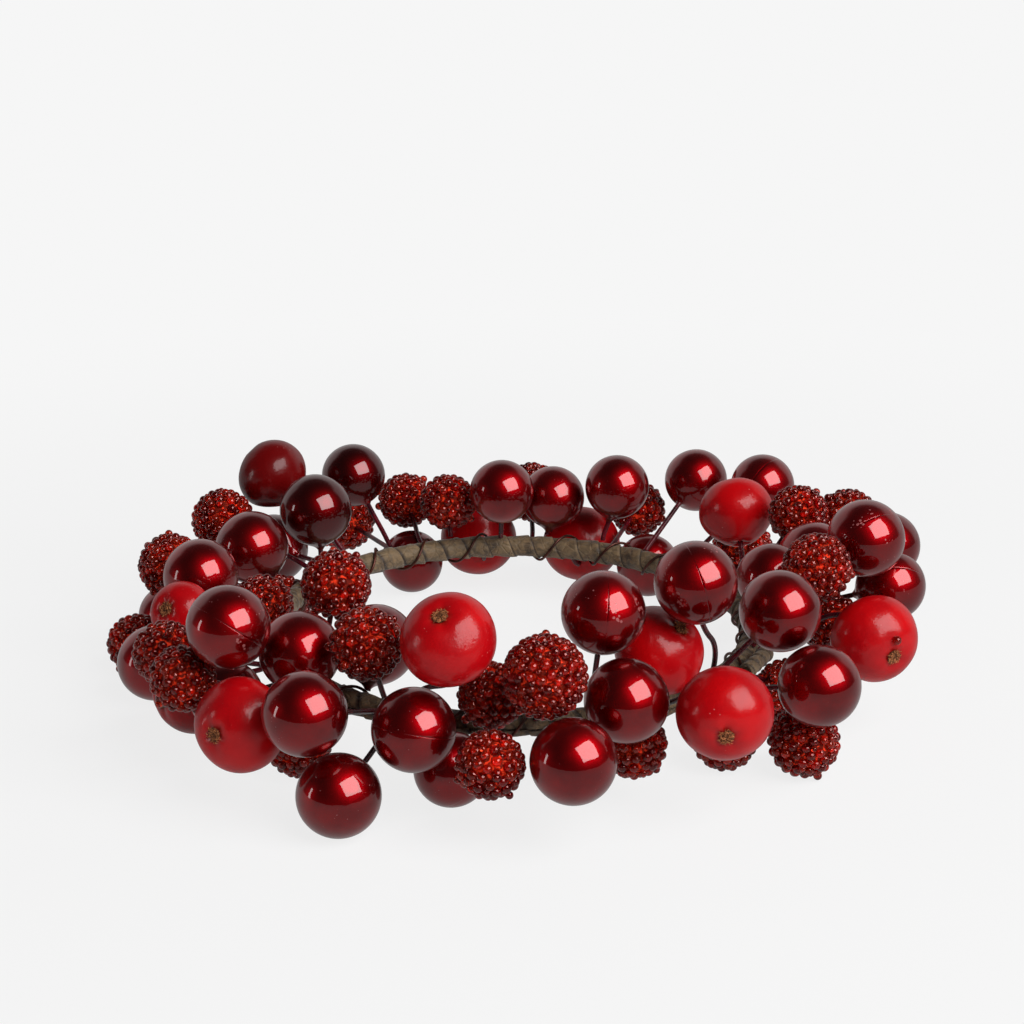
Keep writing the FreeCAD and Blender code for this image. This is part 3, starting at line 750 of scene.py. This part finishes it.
@made_once
def coated_stem(finish, settings):
    """Dark red plastic over wire, with faint scuffs."""
    cloud = finish.effect("Mottle", Scale=260.0)["Mask"]
    scuffs = finish.effect("Specks", Scale=1100.0, Amount=0.3)["Mask"]
    peel = finish.effect("Orange Peel", Scale=1500.0)["Height"]
    colour = finish.mixed(settings.coating, settings.coating_dark, cloud)
    colour = finish.mixed(colour, SCUFFED_PLASTIC, scuffs, most=0.5)
    finish.feed(Base_Color=colour, Roughness=finish.changed(0.22, scuffs, by=0.35))
    finish.bump(peel, "Normal", strength=0.6, depth=0.08 * MM)


@made_once
def binding_wire(finish, settings):
    """Thin lacquered wire."""
    finish.plain(Metallic=0.6)
    cloud = finish.effect("Mottle", Scale=500.0)["Mask"]
    finish.feed(Base_Color=finish.mixed(settings.wire, darker(settings.wire, 0.35), cloud),
                Roughness=finish.changed(0.25, cloud, by=0.2))


# The pearls

PEARL_STEM_RADIUS = 0.57 * MM
PEARL_SQUEEZE = (0.99, 0.99, 0.985)
PEARL_DENTS = 9
PEARL_DENT_SPREAD = 0.12

# The rings crowd to the stem by this power, and the neck's dark tone spreads this much further
NECK_SPACING = 1.35
NECK_TONE_SPREAD = 3

# The way to the key lamp's reflection in a pearl, and in radians how far from it a seam runs
SHINE = (0.298, -0.769, 0.566)
SEAM_TURNS = (0.35, 0.8)
SEAM_HALF_WIDTH = 0.012
SEAMED_SHARE = 0.12

# A pearl above this height has a seam and is worn more
EXPOSED_HEIGHT = 34 * MM
EXPOSED_WEAR = (0.4, 0.5)
LOWER_WEAR = (0.08, 0.2)


def pearl_shell(berry, settings, draw):
    """A lacquered ball drawn up to a neck at its stem, with dents and sometimes a mould seam."""
    start = math.asin(PEARL_STEM_RADIUS / berry.radius)
    steps = np.linspace(0, 1, settings.rings, endpoint=False)
    polar = start + (math.pi - start) * steps ** NECK_SPACING
    azimuths = list(np.linspace(0, TURN, settings.segments, endpoint=False))
    shine = berry.local(SHINE)
    seam = (math.atan2(shine[1], shine[0]) + draw.uniform(*SEAM_TURNS)) % math.pi
    exposed = berry.centre[2] > EXPOSED_HEIGHT
    seamed = exposed or draw.random() < SEAMED_SHARE
    for side in (seam, seam + math.pi):
        azimuths += [side - SEAM_HALF_WIDTH, side, side + SEAM_HALF_WIDTH]
    azimuths = np.array(sorted(azimuths))
    directions = unit_rings(polar, azimuths)
    squeeze = np.array([draw.uniform(least, 1) for least in PEARL_SQUEEZE])
    reach = berry.radius + bumps(directions, draw, PEARL_DENTS, settings.dent_depth, PEARL_DENT_SPREAD)
    if seamed:
        on_seam = np.isclose(np.tile(azimuths, len(polar)) % math.pi, seam % math.pi)
        reach = reach - settings.seam_depth * on_seam
    points = directions * reach[:, None] * squeeze
    from_stem = np.linalg.norm(points[:, :2], axis=1) - PEARL_STEM_RADIUS
    facing_stem = directions[:, 2] > 0
    points[:, 2] += settings.neck_height * np.exp(-from_stem / settings.neck_spread) * facing_stem
    thick = np.exp(-from_stem / (NECK_TONE_SPREAD * settings.neck_spread)) * facing_stem
    top = [0, 0, points[:len(azimuths), 2].max()]
    bottom = [0, 0, -berry.radius * squeeze[2]]
    points = np.vstack((top, points, bottom))
    worn = draw.uniform(*(EXPOSED_WEAR if exposed else LOWER_WEAR))
    # Marks: a seed, wear, the neck's thick lacquer, and painted shade across from the key lamp
    marks = {"berry": draw.random(), "wear": worn, "neck": np.concatenate(([1], thick, [0])),
             "painted_shade": berry.painted_shade_share()}
    return berry.place(points), capped_faces(len(polar), len(azimuths)), marks


# The apples

LOBES = 5
LOBE_SHARE = 0.10
LOBE_REACH_SHARE = 0.55
STEM_LOBE_SHARE = 0.4
APPLE_DENTS = 12
APPLE_DENT_SPREAD = 0.10
APPLE_RIPPLES = 90
APPLE_RIPPLE_SPREAD = 0.014
APPLE_LEAN = 0.012
DIMPLE_TONE = 0.8
DIMPLE_TONE_SHARE = 0.72
TINY = 1e-9

# One bead sticks to an apple, above its calyx
STUCK_BEAD_NODE = "right_apples"
STUCK_BEAD_RADIUS = 0.95 * MM
STUCK_BEAD_ANGLE = math.radians(26)
STUCK_BEAD_TINT = 0.3


def apple_shell(berry, settings, draw):
    """A turned apple with soft dimples at calyx and stem, faint lobes and dents."""
    polar = np.linspace(math.pi, 0, settings.rings + 1, endpoint=False)[1:]
    azimuths = np.linspace(0, TURN, settings.segments, endpoint=False)
    directions = unit_rings(polar, azimuths)
    shoulder = berry.radius - berry.half_height
    outward = np.linalg.norm(directions[:, :2], axis=1)
    across = berry.half_height * outward + shoulder * np.sqrt(outward)
    rise = berry.half_height * directions[:, 2]
    below = directions[:, 2] < 0
    dip = np.exp(-(across / settings.dimple_spread) ** 2) * settings.dimple_depth
    rise += np.where(below, dip, -dip)
    spin = np.arctan2(directions[:, 1], directions[:, 0])
    lobes = np.cos(LOBES * spin + draw.uniform(0, TURN))
    lobes *= np.exp(-(across / (LOBE_REACH_SHARE * berry.radius)) ** 2)
    rise += LOBE_SHARE * settings.dimple_depth * lobes * np.where(below, 1, STEM_LOBE_SHARE)
    dents = bumps(directions, draw, APPLE_DENTS, settings.dent_depth, APPLE_DENT_SPREAD)
    ripples = bumps(directions, draw, APPLE_RIPPLES, settings.ripple_depth, APPLE_RIPPLE_SPREAD)
    swell = 1 + (dents + ripples) / berry.radius
    lean = 1 + draw.uniform(-APPLE_LEAN, APPLE_LEAN) * directions[:, 0]
    narrow = 1 - settings.taper * np.maximum(0, directions[:, 2]) ** 2
    outline = directions[:, :2] / np.maximum(outward, TINY)[:, None] * (across * narrow)[:, None]
    points = np.column_stack((outline, rise)) * (swell * lean)[:, None]
    points *= min(1.0, berry.radius / np.linalg.norm(points[:, :2], axis=1).max())
    first = [0, 0, points[:settings.segments, 2].mean()]
    last = [0, 0, points[-settings.segments:, 2].mean()]
    dimple = np.exp(-(across / (DIMPLE_TONE_SHARE * settings.dimple_spread)) ** 4) * below
    points = np.vstack((first, points, last))
    # Marks: a seed, the browner dimple, and painted shade across from the key lamp
    marks = {"berry": draw.random(), "dimple": DIMPLE_TONE * np.concatenate(([1], dimple, [0])),
             "painted_shade": berry.painted_shade_share()}
    return berry.place(points), flipped(capped_faces(len(polar), len(azimuths))), marks, first[2]


def stuck_bead(berry):
    """A glass bead half sunk in the paint above the calyx."""
    above = unit(berry.local((0, 0, 1)) * np.array([1, 1, 0]))
    direction = above * math.sin(STUCK_BEAD_ANGLE) - np.array([0, 0, math.cos(STUCK_BEAD_ANGLE)])
    template, faces = bead_template()
    points = template @ turn_to(direction).T * STUCK_BEAD_RADIUS + direction * berry.half_height
    return berry.place(points), faces


# The calyxes, with reaches, sizes and lengths as shares of the calyx's radius, and turns in radians

HUSK_REACH = 0.85
HUSK_TONE = 0.2
HUSK_FLATNESS = 0.2
CRUMB_REACH = 0.8
CRUMB_SIZES = (0.07, 0.15)
CRUMB_TONES = (0.3, 1.0)
LUMP_RINGS = 4
LUMP_SEGMENTS = 9
LUMP_ROUGHNESS = 0.35
LUMP_DEPTH = 0.2
TUFT_REACH = 0.85
FIBRE_LENGTHS = (0.25, 0.6)
FIBRE_RADII = (0.06 * MM, 0.11 * MM)
FIBRE_ROOT = 0.45 * MM
FIBRE_TONES = (0.5, 1.6)
FIBRE_CURL = 3.0
FIBRE_LIFTS = (0.2, 1.1)
FIBRE_STRAY = 1.6
FIBRE_TAPER = 0.75
FIBRE_SIDES = 5
FIBRE_STEPS = 6


def fibre_shell(line, radius):
    """A thin tapered fibre along a line of points."""
    points = [line[0]]
    for number in range(1, len(line) - 1):
        turned = turn_to(line[number + 1] - line[number - 1])
        thin = radius * (1 - FIBRE_TAPER * number / len(line))
        for side in range(FIBRE_SIDES):
            angle = TURN * side / FIBRE_SIDES
            points.append(line[number] + turned @ np.array([math.cos(angle), math.sin(angle), 0]) * thin)
    points.append(line[-1])
    return np.array(points), flipped(capped_faces(len(line) - 2, FIBRE_SIDES))


def calyx_shells(berry, seat, settings, draw, shells):
    """A crumbled flower end: a low husk, broken bits and a tuft of dried fibres in the dimple."""
    size = settings.calyx_radius
    seed = draw.random()
    lumps = [(0, 0, HUSK_REACH * size, HUSK_TONE, HUSK_FLATNESS)]
    for _ in range(settings.crumbs):
        angle = draw.uniform(0, TURN)
        out = CRUMB_REACH * size * math.sqrt(draw.random())
        lumps.append((math.cos(angle) * out, math.sin(angle) * out,
                      size * draw.uniform(*CRUMB_SIZES), draw.uniform(*CRUMB_TONES), 1))
    for across, up, reach, tone, flatness in lumps:
        polar = np.linspace(math.pi, 0, LUMP_RINGS + 2)[1:-1]
        azimuths = np.linspace(draw.random(), draw.random() + TURN, LUMP_SEGMENTS, endpoint=False)
        lump = np.vstack(([0, 0, -1], unit_rings(polar, azimuths), [0, 0, 1]))
        lump *= reach * (1 + LUMP_ROUGHNESS * np.array([[draw.uniform(-1, 1)] for _ in lump]))
        lump = lump * np.array([1, 1, flatness]) + np.array([across, up, seat - LUMP_DEPTH * size])
        faces = flipped(capped_faces(LUMP_RINGS, LUMP_SEGMENTS))
        shells.add(berry.place(lump), faces, berry=seed, fibre=tone)
    for _ in range(settings.fibres):
        angle = draw.uniform(0, TURN)
        out = TUFT_REACH * size * math.sqrt(draw.random())
        stride = size * draw.uniform(*FIBRE_LENGTHS) / FIBRE_STEPS
        curl = draw.uniform(-FIBRE_CURL, FIBRE_CURL)
        lift = draw.uniform(*FIBRE_LIFTS)
        place = np.array([math.cos(angle) * out, math.sin(angle) * out, seat - FIBRE_ROOT])
        heading = angle + draw.uniform(-FIBRE_STRAY, FIBRE_STRAY)
        line = [place]
        for step in range(FIBRE_STEPS):
            heading += curl / FIBRE_STEPS
            rise = lift * math.cos(math.pi * step / FIBRE_STEPS)
            place = place + stride * np.array([math.cos(heading), math.sin(heading), -rise])
            line.append(place)
        points, faces = fibre_shell(np.array(line), draw.uniform(*FIBRE_RADII))
        shells.add(berry.place(points), faces, berry=seed, fibre=draw.uniform(*FIBRE_TONES))


# The raspberries

# How the balls of a solid's core and beads are told apart
LEAST_PATCH = 12
LEAST_CORE = 4.0 * MM
LARGEST_BEAD = 1.3 * MM
LEAST_BEAD = 0.7 * MM

CORE_RINGS = 24
CORE_SEGMENTS = 32
BEAD_SEGMENTS = 12
BEAD_RINGS = 6
BEAD_REACH = math.radians(125)
TINT_POWER = 1.1

# Small beads go to the emptiest of a few places, sunk in the glue, and not to the stem
PLACES_TRIED = 10
STEM_FACING = 0.92
STEM_PENALTY = 2
SMALL_BEAD_LEVELS = (0.3, 0.9)

# Proud beads stand on others, as shares of their radius
PROUD_STRAY = 0.1
PROUD_RISE = 0.9
PROUD_SIZE = 0.85


def bead_template():
    """A unit bead about +Z, closed under the glue."""
    polar = np.linspace(0, BEAD_REACH, BEAD_RINGS + 1)[1:]
    azimuths = np.linspace(0, TURN, BEAD_SEGMENTS, endpoint=False)
    points = np.vstack(([0, 0, 1], unit_rings(polar, azimuths), [0, 0, math.cos(BEAD_REACH)]))
    return points, capped_faces(BEAD_RINGS, BEAD_SEGMENTS)


def raspberries_of(node):
    """Each raspberry of a CAD node: its core's centre and radius, and its beads' balls."""
    balls = [fitted_ball(patch) for patch in patches_of(node, joined=False) if len(patch) >= LEAST_PATCH]
    cores = [(centre, radius, []) for centre, radius in balls if radius > LEAST_CORE]
    for centre, radius in balls:
        if LEAST_BEAD < radius < LARGEST_BEAD:
            own = min(cores, key=lambda core: np.linalg.norm(core[0] - centre))
            own[2].append((centre, radius))
    return cores


def emptiest(taken, stem, draw):
    """The emptiest of a few random directions, away from the stem."""
    tries = np.array([random_direction(draw) for _ in range(PLACES_TRIED)])
    nearest = (tries @ taken.T).max(1) + STEM_PENALTY * (tries @ stem > STEM_FACING)
    return tries[nearest.argmin()]


def raspberry_shells(centre, core_radius, balls, settings, draw, beads, cores):
    """A painted ball covered with glass beads, where its solid has them."""
    polar = np.linspace(0, math.pi, CORE_RINGS + 2)[1:-1]
    azimuths = np.linspace(0, TURN, CORE_SEGMENTS, endpoint=False)
    ball = np.vstack(([0, 0, 1], unit_rings(polar, azimuths), [0, 0, -1])) * core_radius
    cores.add(ball + centre, capped_faces(CORE_RINGS, CORE_SEGMENTS), berry=draw.random())
    placed = []
    for middle, radius in balls:
        top = np.linalg.norm(middle - centre) + radius
        direction = unit(middle - centre + random_shift(draw, settings.bead_jitter * radius))
        radius *= settings.bead_growth * (1 + draw.uniform(-1, 1) * settings.bead_spread)
        placed.append((direction, top - radius, radius))
    proud = draw.sample(placed, settings.proud_beads)
    stem = -unit(sum(direction for direction, _, _ in placed))
    for _ in range(round(settings.small_share * len(balls))):
        direction = emptiest(np.array([direction for direction, _, _ in placed]), stem, draw)
        radius = settings.small_bead * (1 + draw.uniform(-1, 1) * settings.bead_spread)
        placed.append((direction, core_radius + draw.uniform(*SMALL_BEAD_LEVELS) * radius, radius))
    for direction, level, radius in proud:
        beside = unit(direction + random_shift(draw, PROUD_STRAY))
        placed.append((beside, level + PROUD_RISE * radius, PROUD_SIZE * radius))
    low, high = (np.array(corner) for corner in CAD_BOX)
    template, faces = bead_template()
    for direction, level, radius in placed:
        middle = centre + direction * level
        if (middle - radius > low).all() and (middle + radius < high).all():
            points = template @ turn_to(direction).T * radius + middle
            beads.add(points, faces, tint=draw.random() ** TINT_POWER)


# The taped hoop

# The places of points across one lap, which starts and ends low, in the groove at a lap's edge
LAP_COLUMNS = (0.0, 0.02, 0.14, 0.30, 0.46, 0.62, 0.78, 0.92, 0.985)
LAP_EDGE = LAP_COLUMNS[1] / 2
# From this share of a lap, and in the groove at its edge, the tape gets painted shade
LAP_SHADE_FROM = LAP_COLUMNS[-2]
TAPE_SEGMENTS = 30
CREASE_SCALE = 420.0
FINE_CREASE_SCALE = 1100.0
FINE_CREASE_SHARE = 0.5
CREASE_LIMIT = 0.3

TAIL_LAPS = 4
TAIL_ROWS = 40
TAIL_SEGMENTS = 32
TAIL_END_SHARES = np.linspace(0.08, 0.9, 12)
TAIL_EDGE_SHARE = 0.86
# From this share of a lap the tail's tape gets painted shade
TAIL_LAP_SHADE_FROM = 0.9
ROLL_TURNS = 2.5


def tape_shell(settings):
    """Paper tape lapped round the hoop: each lap's edge stands over the one before it."""
    low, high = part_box("hoop_tape")
    section = (high.z - low.z) / 2
    radius = (high.x - low.x) / 2 - section
    height = (high.z + low.z) / 2
    columns = [lap + share for lap in range(settings.laps) for share in LAP_COLUMNS]
    points = []
    under = []
    for column in columns:
        share = column % 1
        lowered = share if share > LAP_EDGE else 1.0
        reach = section - settings.lap_step * lowered
        for step in range(TAPE_SEGMENTS):
            angle = TURN * step / TAPE_SEGMENTS
            azimuth = TURN * (column - step / TAPE_SEGMENTS) / settings.laps
            level = radius + reach * math.cos(angle)
            points.append((level * math.cos(azimuth), level * math.sin(azimuth),
                           height + reach * math.sin(angle)))
            # 1 where the tape gets painted shade, in the groove at a lap's edge and just before it
            under.append(1.0 if share < LAP_EDGE or share > LAP_SHADE_FROM else 0.0)
    points = np.array(points)
    inward = points - np.array([0, 0, height])
    ring = inward * np.array([1, 1, 0])
    ring *= radius / np.linalg.norm(ring, axis=1)[:, None]
    normal = inward - ring
    normal /= np.linalg.norm(normal, axis=1)[:, None]
    crease = crumple(points, CREASE_SCALE) + FINE_CREASE_SHARE * crumple(points, FINE_CREASE_SCALE)
    points = points + normal * (settings.crease_depth * np.minimum(crease, CREASE_LIMIT))[:, None]
    faces = []
    total = len(columns)
    for column in range(total):
        after = (column + 1) % total
        for step in range(TAPE_SEGMENTS):
            laps, beside = divmod(step + 1, TAPE_SEGMENTS)
            moved = laps * len(LAP_COLUMNS)
            faces.append((after * TAPE_SEGMENTS + step,
                          (after + moved) % total * TAPE_SEGMENTS + beside,
                          (column + moved) % total * TAPE_SEGMENTS + beside,
                          column * TAPE_SEGMENTS + step))
    return points, faces, {"lap_edge_shade": np.array(under)}


def tail_shell(settings):
    """The taped end of a bundle: lapped along its length, rolled in a spiral at its cut ends."""
    points = patches_of("taped_stem_tail")[0]
    middle = (points.max(0) + points.min(0)) / 2
    _, _, axes = np.linalg.svd(points - points.mean(0), full_matrices=False)
    along = axes[0]
    rise = (points - middle) @ along
    half = rise.max()
    radius = np.linalg.norm(points - middle - np.outer(rise, along), axis=1).max()
    outline = [(share * radius, -half, True) for share in TAIL_END_SHARES]
    for row in range(TAIL_ROWS + 1):
        share = row / TAIL_ROWS
        from_end = min(share, 1 - share) * TAIL_ROWS / 2
        rounded = min(1.0, TAIL_EDGE_SHARE + (1 - TAIL_EDGE_SHARE) * from_end)
        outline.append((radius * rounded, half * (2 * share - 1), False))
    outline += [(share * radius, half, True) for share in reversed(TAIL_END_SHARES)]
    rings = [(0, 0, settings.lap_step - half)]
    under = [0.0]
    for reach, level, flat in outline:
        for step in range(TAIL_SEGMENTS):
            angle = TURN * step / TAIL_SEGMENTS
            turns = reach / radius * ROLL_TURNS if flat else (level / half + 1) / 2 * TAIL_LAPS
            lap = (turns - step / TAIL_SEGMENTS) % 1
            sunk = settings.lap_step * lap
            out = reach if flat else reach - sunk
            drop = math.copysign(sunk, level) if flat else 0
            rings.append((out * math.cos(angle), out * math.sin(angle), level - drop))
            # 1 where the tail's tape gets painted shade, just before a lap's edge
            under.append(1.0 if lap > TAIL_LAP_SHADE_FROM else 0.0)
    rings.append((0, 0, half - settings.lap_step))
    under.append(0.0)
    faces = flipped(capped_faces(len(outline), TAIL_SEGMENTS))
    return np.array(rings) @ turn_to(along).T + middle, faces, {"lap_edge_shade": np.array(under)}


# The building steps


class CANDLERING_OT_pearls(bpy.types.Operator):
    """Replace the plain pearls by lacquered ones"""

    bl_idname = "candle_ring.pearls"
    bl_label = "Build pearls"

    def execute(self, context):
        settings = context.scene.ring_pearls
        for node in nodes_ending("_pearls", "_pearl"):
            draw = random.Random(node)
            shells = Shells()
            for points in patches_of(node):
                shell, faces, marks = pearl_shell(Berry(points), settings, draw)
                shells.add(shell, faces, **marks)
            shells.build(f"{node}_lacquered", pearl_lacquer(settings), "pearl_lacquer",
                         body_of(node), node)
        return {"FINISHED"}


class CANDLERING_OT_apples(bpy.types.Operator):
    """Replace the plain apples and calyxes by satin apples with dried flower ends"""

    bl_idname = "candle_ring.apples"
    bl_label = "Build apples"

    def execute(self, context):
        settings = context.scene.ring_apples
        fixed_calyxes = Shells()
        for node in nodes_ending("_apples", "_apple"):
            draw = random.Random(node)
            shells = Shells()
            bends = f"{node}_calyx" in frame["nodes"]
            calyxes = Shells() if bends else fixed_calyxes
            for points in patches_of(node):
                berry = Berry(points)
                berry.settle_apple(points)
                shell, faces, marks, seat = apple_shell(berry, settings, draw)
                shells.add(shell, faces, **marks)
                calyx_shells(berry, seat, settings, draw, calyxes)
                if node == STUCK_BEAD_NODE:
                    bead = Shells()
                    bead.add(*stuck_bead(berry), tint=STUCK_BEAD_TINT)
                    bead.build(f"{node}_bead", glass_beads(context.scene.ring_raspberries),
                               "red_beads", body_of(node))
            shells.build(f"{node}_painted", apple_skin(settings), "apple_skin", body_of(node), node)
            if bends:
                calyxes.build(f"{node}_calyx_dried", dried_calyx(settings), "dried_calyx",
                              body_of(node), f"{node}_calyx")
        fixed_calyxes.build("apple_calyxes_dried", dried_calyx(settings), "dried_calyx",
                            body_of("apple_calyxes"), "apple_calyxes")
        return {"FINISHED"}


class CANDLERING_OT_raspberries(bpy.types.Operator):
    """Replace the plain raspberries by painted balls, with glass beads where the solids have theirs"""

    bl_idname = "candle_ring.raspberries"
    bl_label = "Build raspberries"

    def execute(self, context):
        settings = context.scene.ring_raspberries
        for node in nodes_ending("_raspberries", "_raspberry"):
            draw = random.Random(node)
            beads = Shells()
            cores = Shells()
            for centre, radius, balls in raspberries_of(node):
                raspberry_shells(centre, radius, balls, settings, draw, beads, cores)
            beads.build(f"{node}_beads", glass_beads(settings), "red_beads", body_of(node), node)
            cores.build(f"{node}_cores", bead_core_and_painted_glints(settings), "red_beads", body_of(node), node)
        return {"FINISHED"}


class CANDLERING_OT_hoop(bpy.types.Operator):
    """Wrap the hoop and the tail in lapped tape, and finish the wires and stems"""

    bl_idname = "candle_ring.hoop"
    bl_label = "Build hoop and stems"

    def execute(self, context):
        settings = context.scene.ring_hoop
        for node, maker in (("hoop_tape", tape_shell), ("taped_stem_tail", tail_shell)):
            shells = Shells()
            shell, faces, marks = maker(settings)
            shells.add(shell, faces, **marks)
            shells.build(f"{node}_wrapped", paper_tape(settings), "paper_tape", body_of(node), node)
        for node in nodes_ending("_stems", "_stem"):
            assign(node, coated_stem(settings))
        for node in ("binding_wire", "hoop_wire"):
            assign(node, binding_wire(settings))
        return {"FINISHED"}


def assign(node, material):
    """Give a CAD node that keeps its own shape its material."""
    slots = frame["nodes"][node].data.materials
    slots.clear()
    slots.append(material)


# The stage

FLOOR_SIZE = 12.0
KEY_DISTANCE = 1.0
KEY_DIRECTION = (0.552, -0.505, 0.660)
KEY_SIZE = (0.86, 0.76)
STRIP_DISTANCE = 0.9
STRIP_DIRECTION = (-0.957, -0.233, 0.165)
STRIP_SIZE = (0.10, 0.34)

# The table's own shading counts for this share near the ring, and fades out over this reach
LIT_SHARE = 0.12
LIT_REACH = (0.09, 0.32)
MIRRORED_FLOOR = 0.42
TABLE_SHADE = 0.985

# The backdrop lights the ring from behind: where it comes in along Y and fades out along Z
BEHIND_SPAN = (0.25, 0.45)
LOW_SPAN = (0.55, 0.75)
BEHIND_STRENGTH = 0.5


def make_lamp(name, direction, distance, size, power):
    """A rectangular soft lamp at a distance in a direction, facing the ring."""
    data = bpy.data.lights.new(name, "AREA")
    data.shape = "RECTANGLE"
    data.size, data.size_y = size
    data.energy = power
    lamp = bpy.data.objects.new(name, data)
    lamp.location = Vector(direction).normalized() * distance
    lamp.rotation_euler = lamp.location.to_track_quat("Z", "Y").to_euler()
    bpy.context.scene.collection.objects.link(lamp)


def seen_or_mirrored(tree):
    """Two masks: 1 where the camera looks straight, and 1 there or by a mirror or through glass."""
    path = add_node(tree, "ShaderNodeLightPath").outputs
    mirrored = maths(tree, "MAXIMUM", path["Is Glossy Ray"], path["Is Transmission Ray"])
    return path["Is Camera Ray"], maths(tree, "MAXIMUM", path["Is Camera Ray"], mirrored)


@made_once
def pale_table(finish, settings):
    """A pale table that keeps the ring's shadow, and far from the ring looks like the backdrop."""
    finish.plain(Roughness=1.0, Specular_IOR_Level=0.0)
    tree = finish.tree
    tint = finish.effect("Mottle", Scale=8.0)["Mask"]
    finish.feed(Base_Color=finish.mixed(settings.backdrop, darker(settings.backdrop, TABLE_SHADE), tint))
    camera, either = seen_or_mirrored(tree)
    strength = spanned(tree, camera, 0.0, 1.0, MIRRORED_FLOOR, 1.0)
    glow = add_node(tree, "ShaderNodeEmission", {"Color": settings.backdrop, "Strength": strength})
    place = add_node(tree, "ShaderNodeTexCoord").outputs["Object"]
    away = add_node(tree, "ShaderNodeVectorMath", {0: place}, operation="LENGTH").outputs["Value"]
    plain = spanned(tree, away, *LIT_REACH, 1 - LIT_SHARE, 1.0)
    mix = add_node(tree, "ShaderNodeMixShader",
                   {0: maths(tree, "MULTIPLY", either, plain), 1: finish.shader.outputs[0],
                    2: glow.outputs[0]})
    tree.links.new(mix.outputs[0], tree.nodes["Material Output"].inputs["Surface"])


def make_world(settings):
    """A white backdrop to the eye, and to the ring a dim room with the backdrop behind it."""
    world = bpy.data.worlds.new("studio")
    bpy.context.scene.world = world
    world.use_nodes = True
    tree = world.node_tree
    direction = add_node(tree, "ShaderNodeTexCoord").outputs["Generated"]
    parts = add_node(tree, "ShaderNodeSeparateXYZ", {0: direction}).outputs
    behind = spanned(tree, parts["Y"], *BEHIND_SPAN)
    low = spanned(tree, parts["Z"], *LOW_SPAN, 1.0, 0.0)
    room = maths(tree, "MULTIPLY_ADD", maths(tree, "MULTIPLY", behind, low), BEHIND_STRENGTH,
                 settings.room)
    mirrored = add_node(tree, "ShaderNodeBackground", {"Color": (1, 1, 1, 1), "Strength": room})
    seen = tree.nodes["Background"]
    seen.inputs["Color"].default_value = settings.backdrop
    camera, _ = seen_or_mirrored(tree)
    mix = add_node(tree, "ShaderNodeMixShader", {0: camera, 1: mirrored.outputs[0], 2: seen.outputs[0]})
    tree.links.new(mix.outputs[0], tree.nodes["World Output"].inputs["Surface"])


class CANDLERING_OT_stage(bpy.types.Operator):
    """Set up the table, the lamps, the backdrop and the camera"""

    bl_idname = "candle_ring.stage"
    bl_label = "Build stage"

    def execute(self, context):
        settings = context.scene.ring_stage
        half = FLOOR_SIZE / 2
        mesh = bpy.data.meshes.new("table_top")
        mesh.from_pydata([(-half, -half, 0), (half, -half, 0), (half, half, 0), (-half, half, 0)], [],
                         [(0, 1, 2, 3)])
        mesh.materials.append(pale_table(settings))
        floor = bpy.data.objects.new("table_top", mesh)
        context.scene.collection.objects.link(floor)
        make_lamp("key_softbox", KEY_DIRECTION, KEY_DISTANCE, KEY_SIZE, settings.key_power)
        make_lamp("left_strip", STRIP_DIRECTION, STRIP_DISTANCE, STRIP_SIZE, settings.strip_power)
        make_world(settings)
        data = bpy.data.cameras.new("camera")
        data.lens = settings.lens
        camera = bpy.data.objects.new("camera", data)
        camera.location = settings.camera_place
        camera.rotation_euler = (math.pi / 2 - settings.camera_pitch, 0, 0)
        context.scene.collection.objects.link(camera)
        context.scene.camera = camera
        context.scene.view_settings.view_transform = "Standard"
        return {"FINISHED"}


# The add-on


class CANDLERING_PT_panel(bpy.types.Panel):
    """Lists the ring's settings and building steps"""

    bl_label = "Candle Ring"
    bl_idname = "CANDLERING_PT_panel"
    bl_space_type = "VIEW_3D"
    bl_region_type = "UI"
    bl_category = "Candle Ring"

    def draw(self, context):
        for name, (_, operator) in PIECES.items():
            box = self.layout.box()
            settings = getattr(context.scene, name)
            for setting in settings.bl_rna.properties:
                if setting.identifier not in ("rna_type", "name"):
                    box.prop(settings, setting.identifier)
            box.operator(operator.bl_idname)


PIECES = {
    "ring_stage": (StageSettings, CANDLERING_OT_stage),
    "ring_hoop": (HoopSettings, CANDLERING_OT_hoop),
    "ring_pearls": (PearlSettings, CANDLERING_OT_pearls),
    "ring_apples": (AppleSettings, CANDLERING_OT_apples),
    "ring_raspberries": (RaspberrySettings, CANDLERING_OT_raspberries),
}


def register():
    """Register the settings, the building steps and the panel."""
    for name, (settings, operator) in PIECES.items():
        bpy.utils.register_class(settings)
        bpy.utils.register_class(operator)
        setattr(bpy.types.Scene, name, PointerProperty(type=settings))
    bpy.utils.register_class(CANDLERING_PT_panel)


def unregister():
    """Undo what register did, in the other order."""
    bpy.utils.unregister_class(CANDLERING_PT_panel)
    for name, (settings, operator) in reversed(PIECES.items()):
        delattr(bpy.types.Scene, name)
        bpy.utils.unregister_class(operator)
        bpy.utils.unregister_class(settings)


def main():
    """Register the add-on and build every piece."""
    register()
    bpy.ops.candle_ring.stage()
    bpy.ops.candle_ring.hoop()
    bpy.ops.candle_ring.pearls()
    bpy.ops.candle_ring.apples()
    bpy.ops.candle_ring.raspberries()


if __name__ == "__main__":
    main()
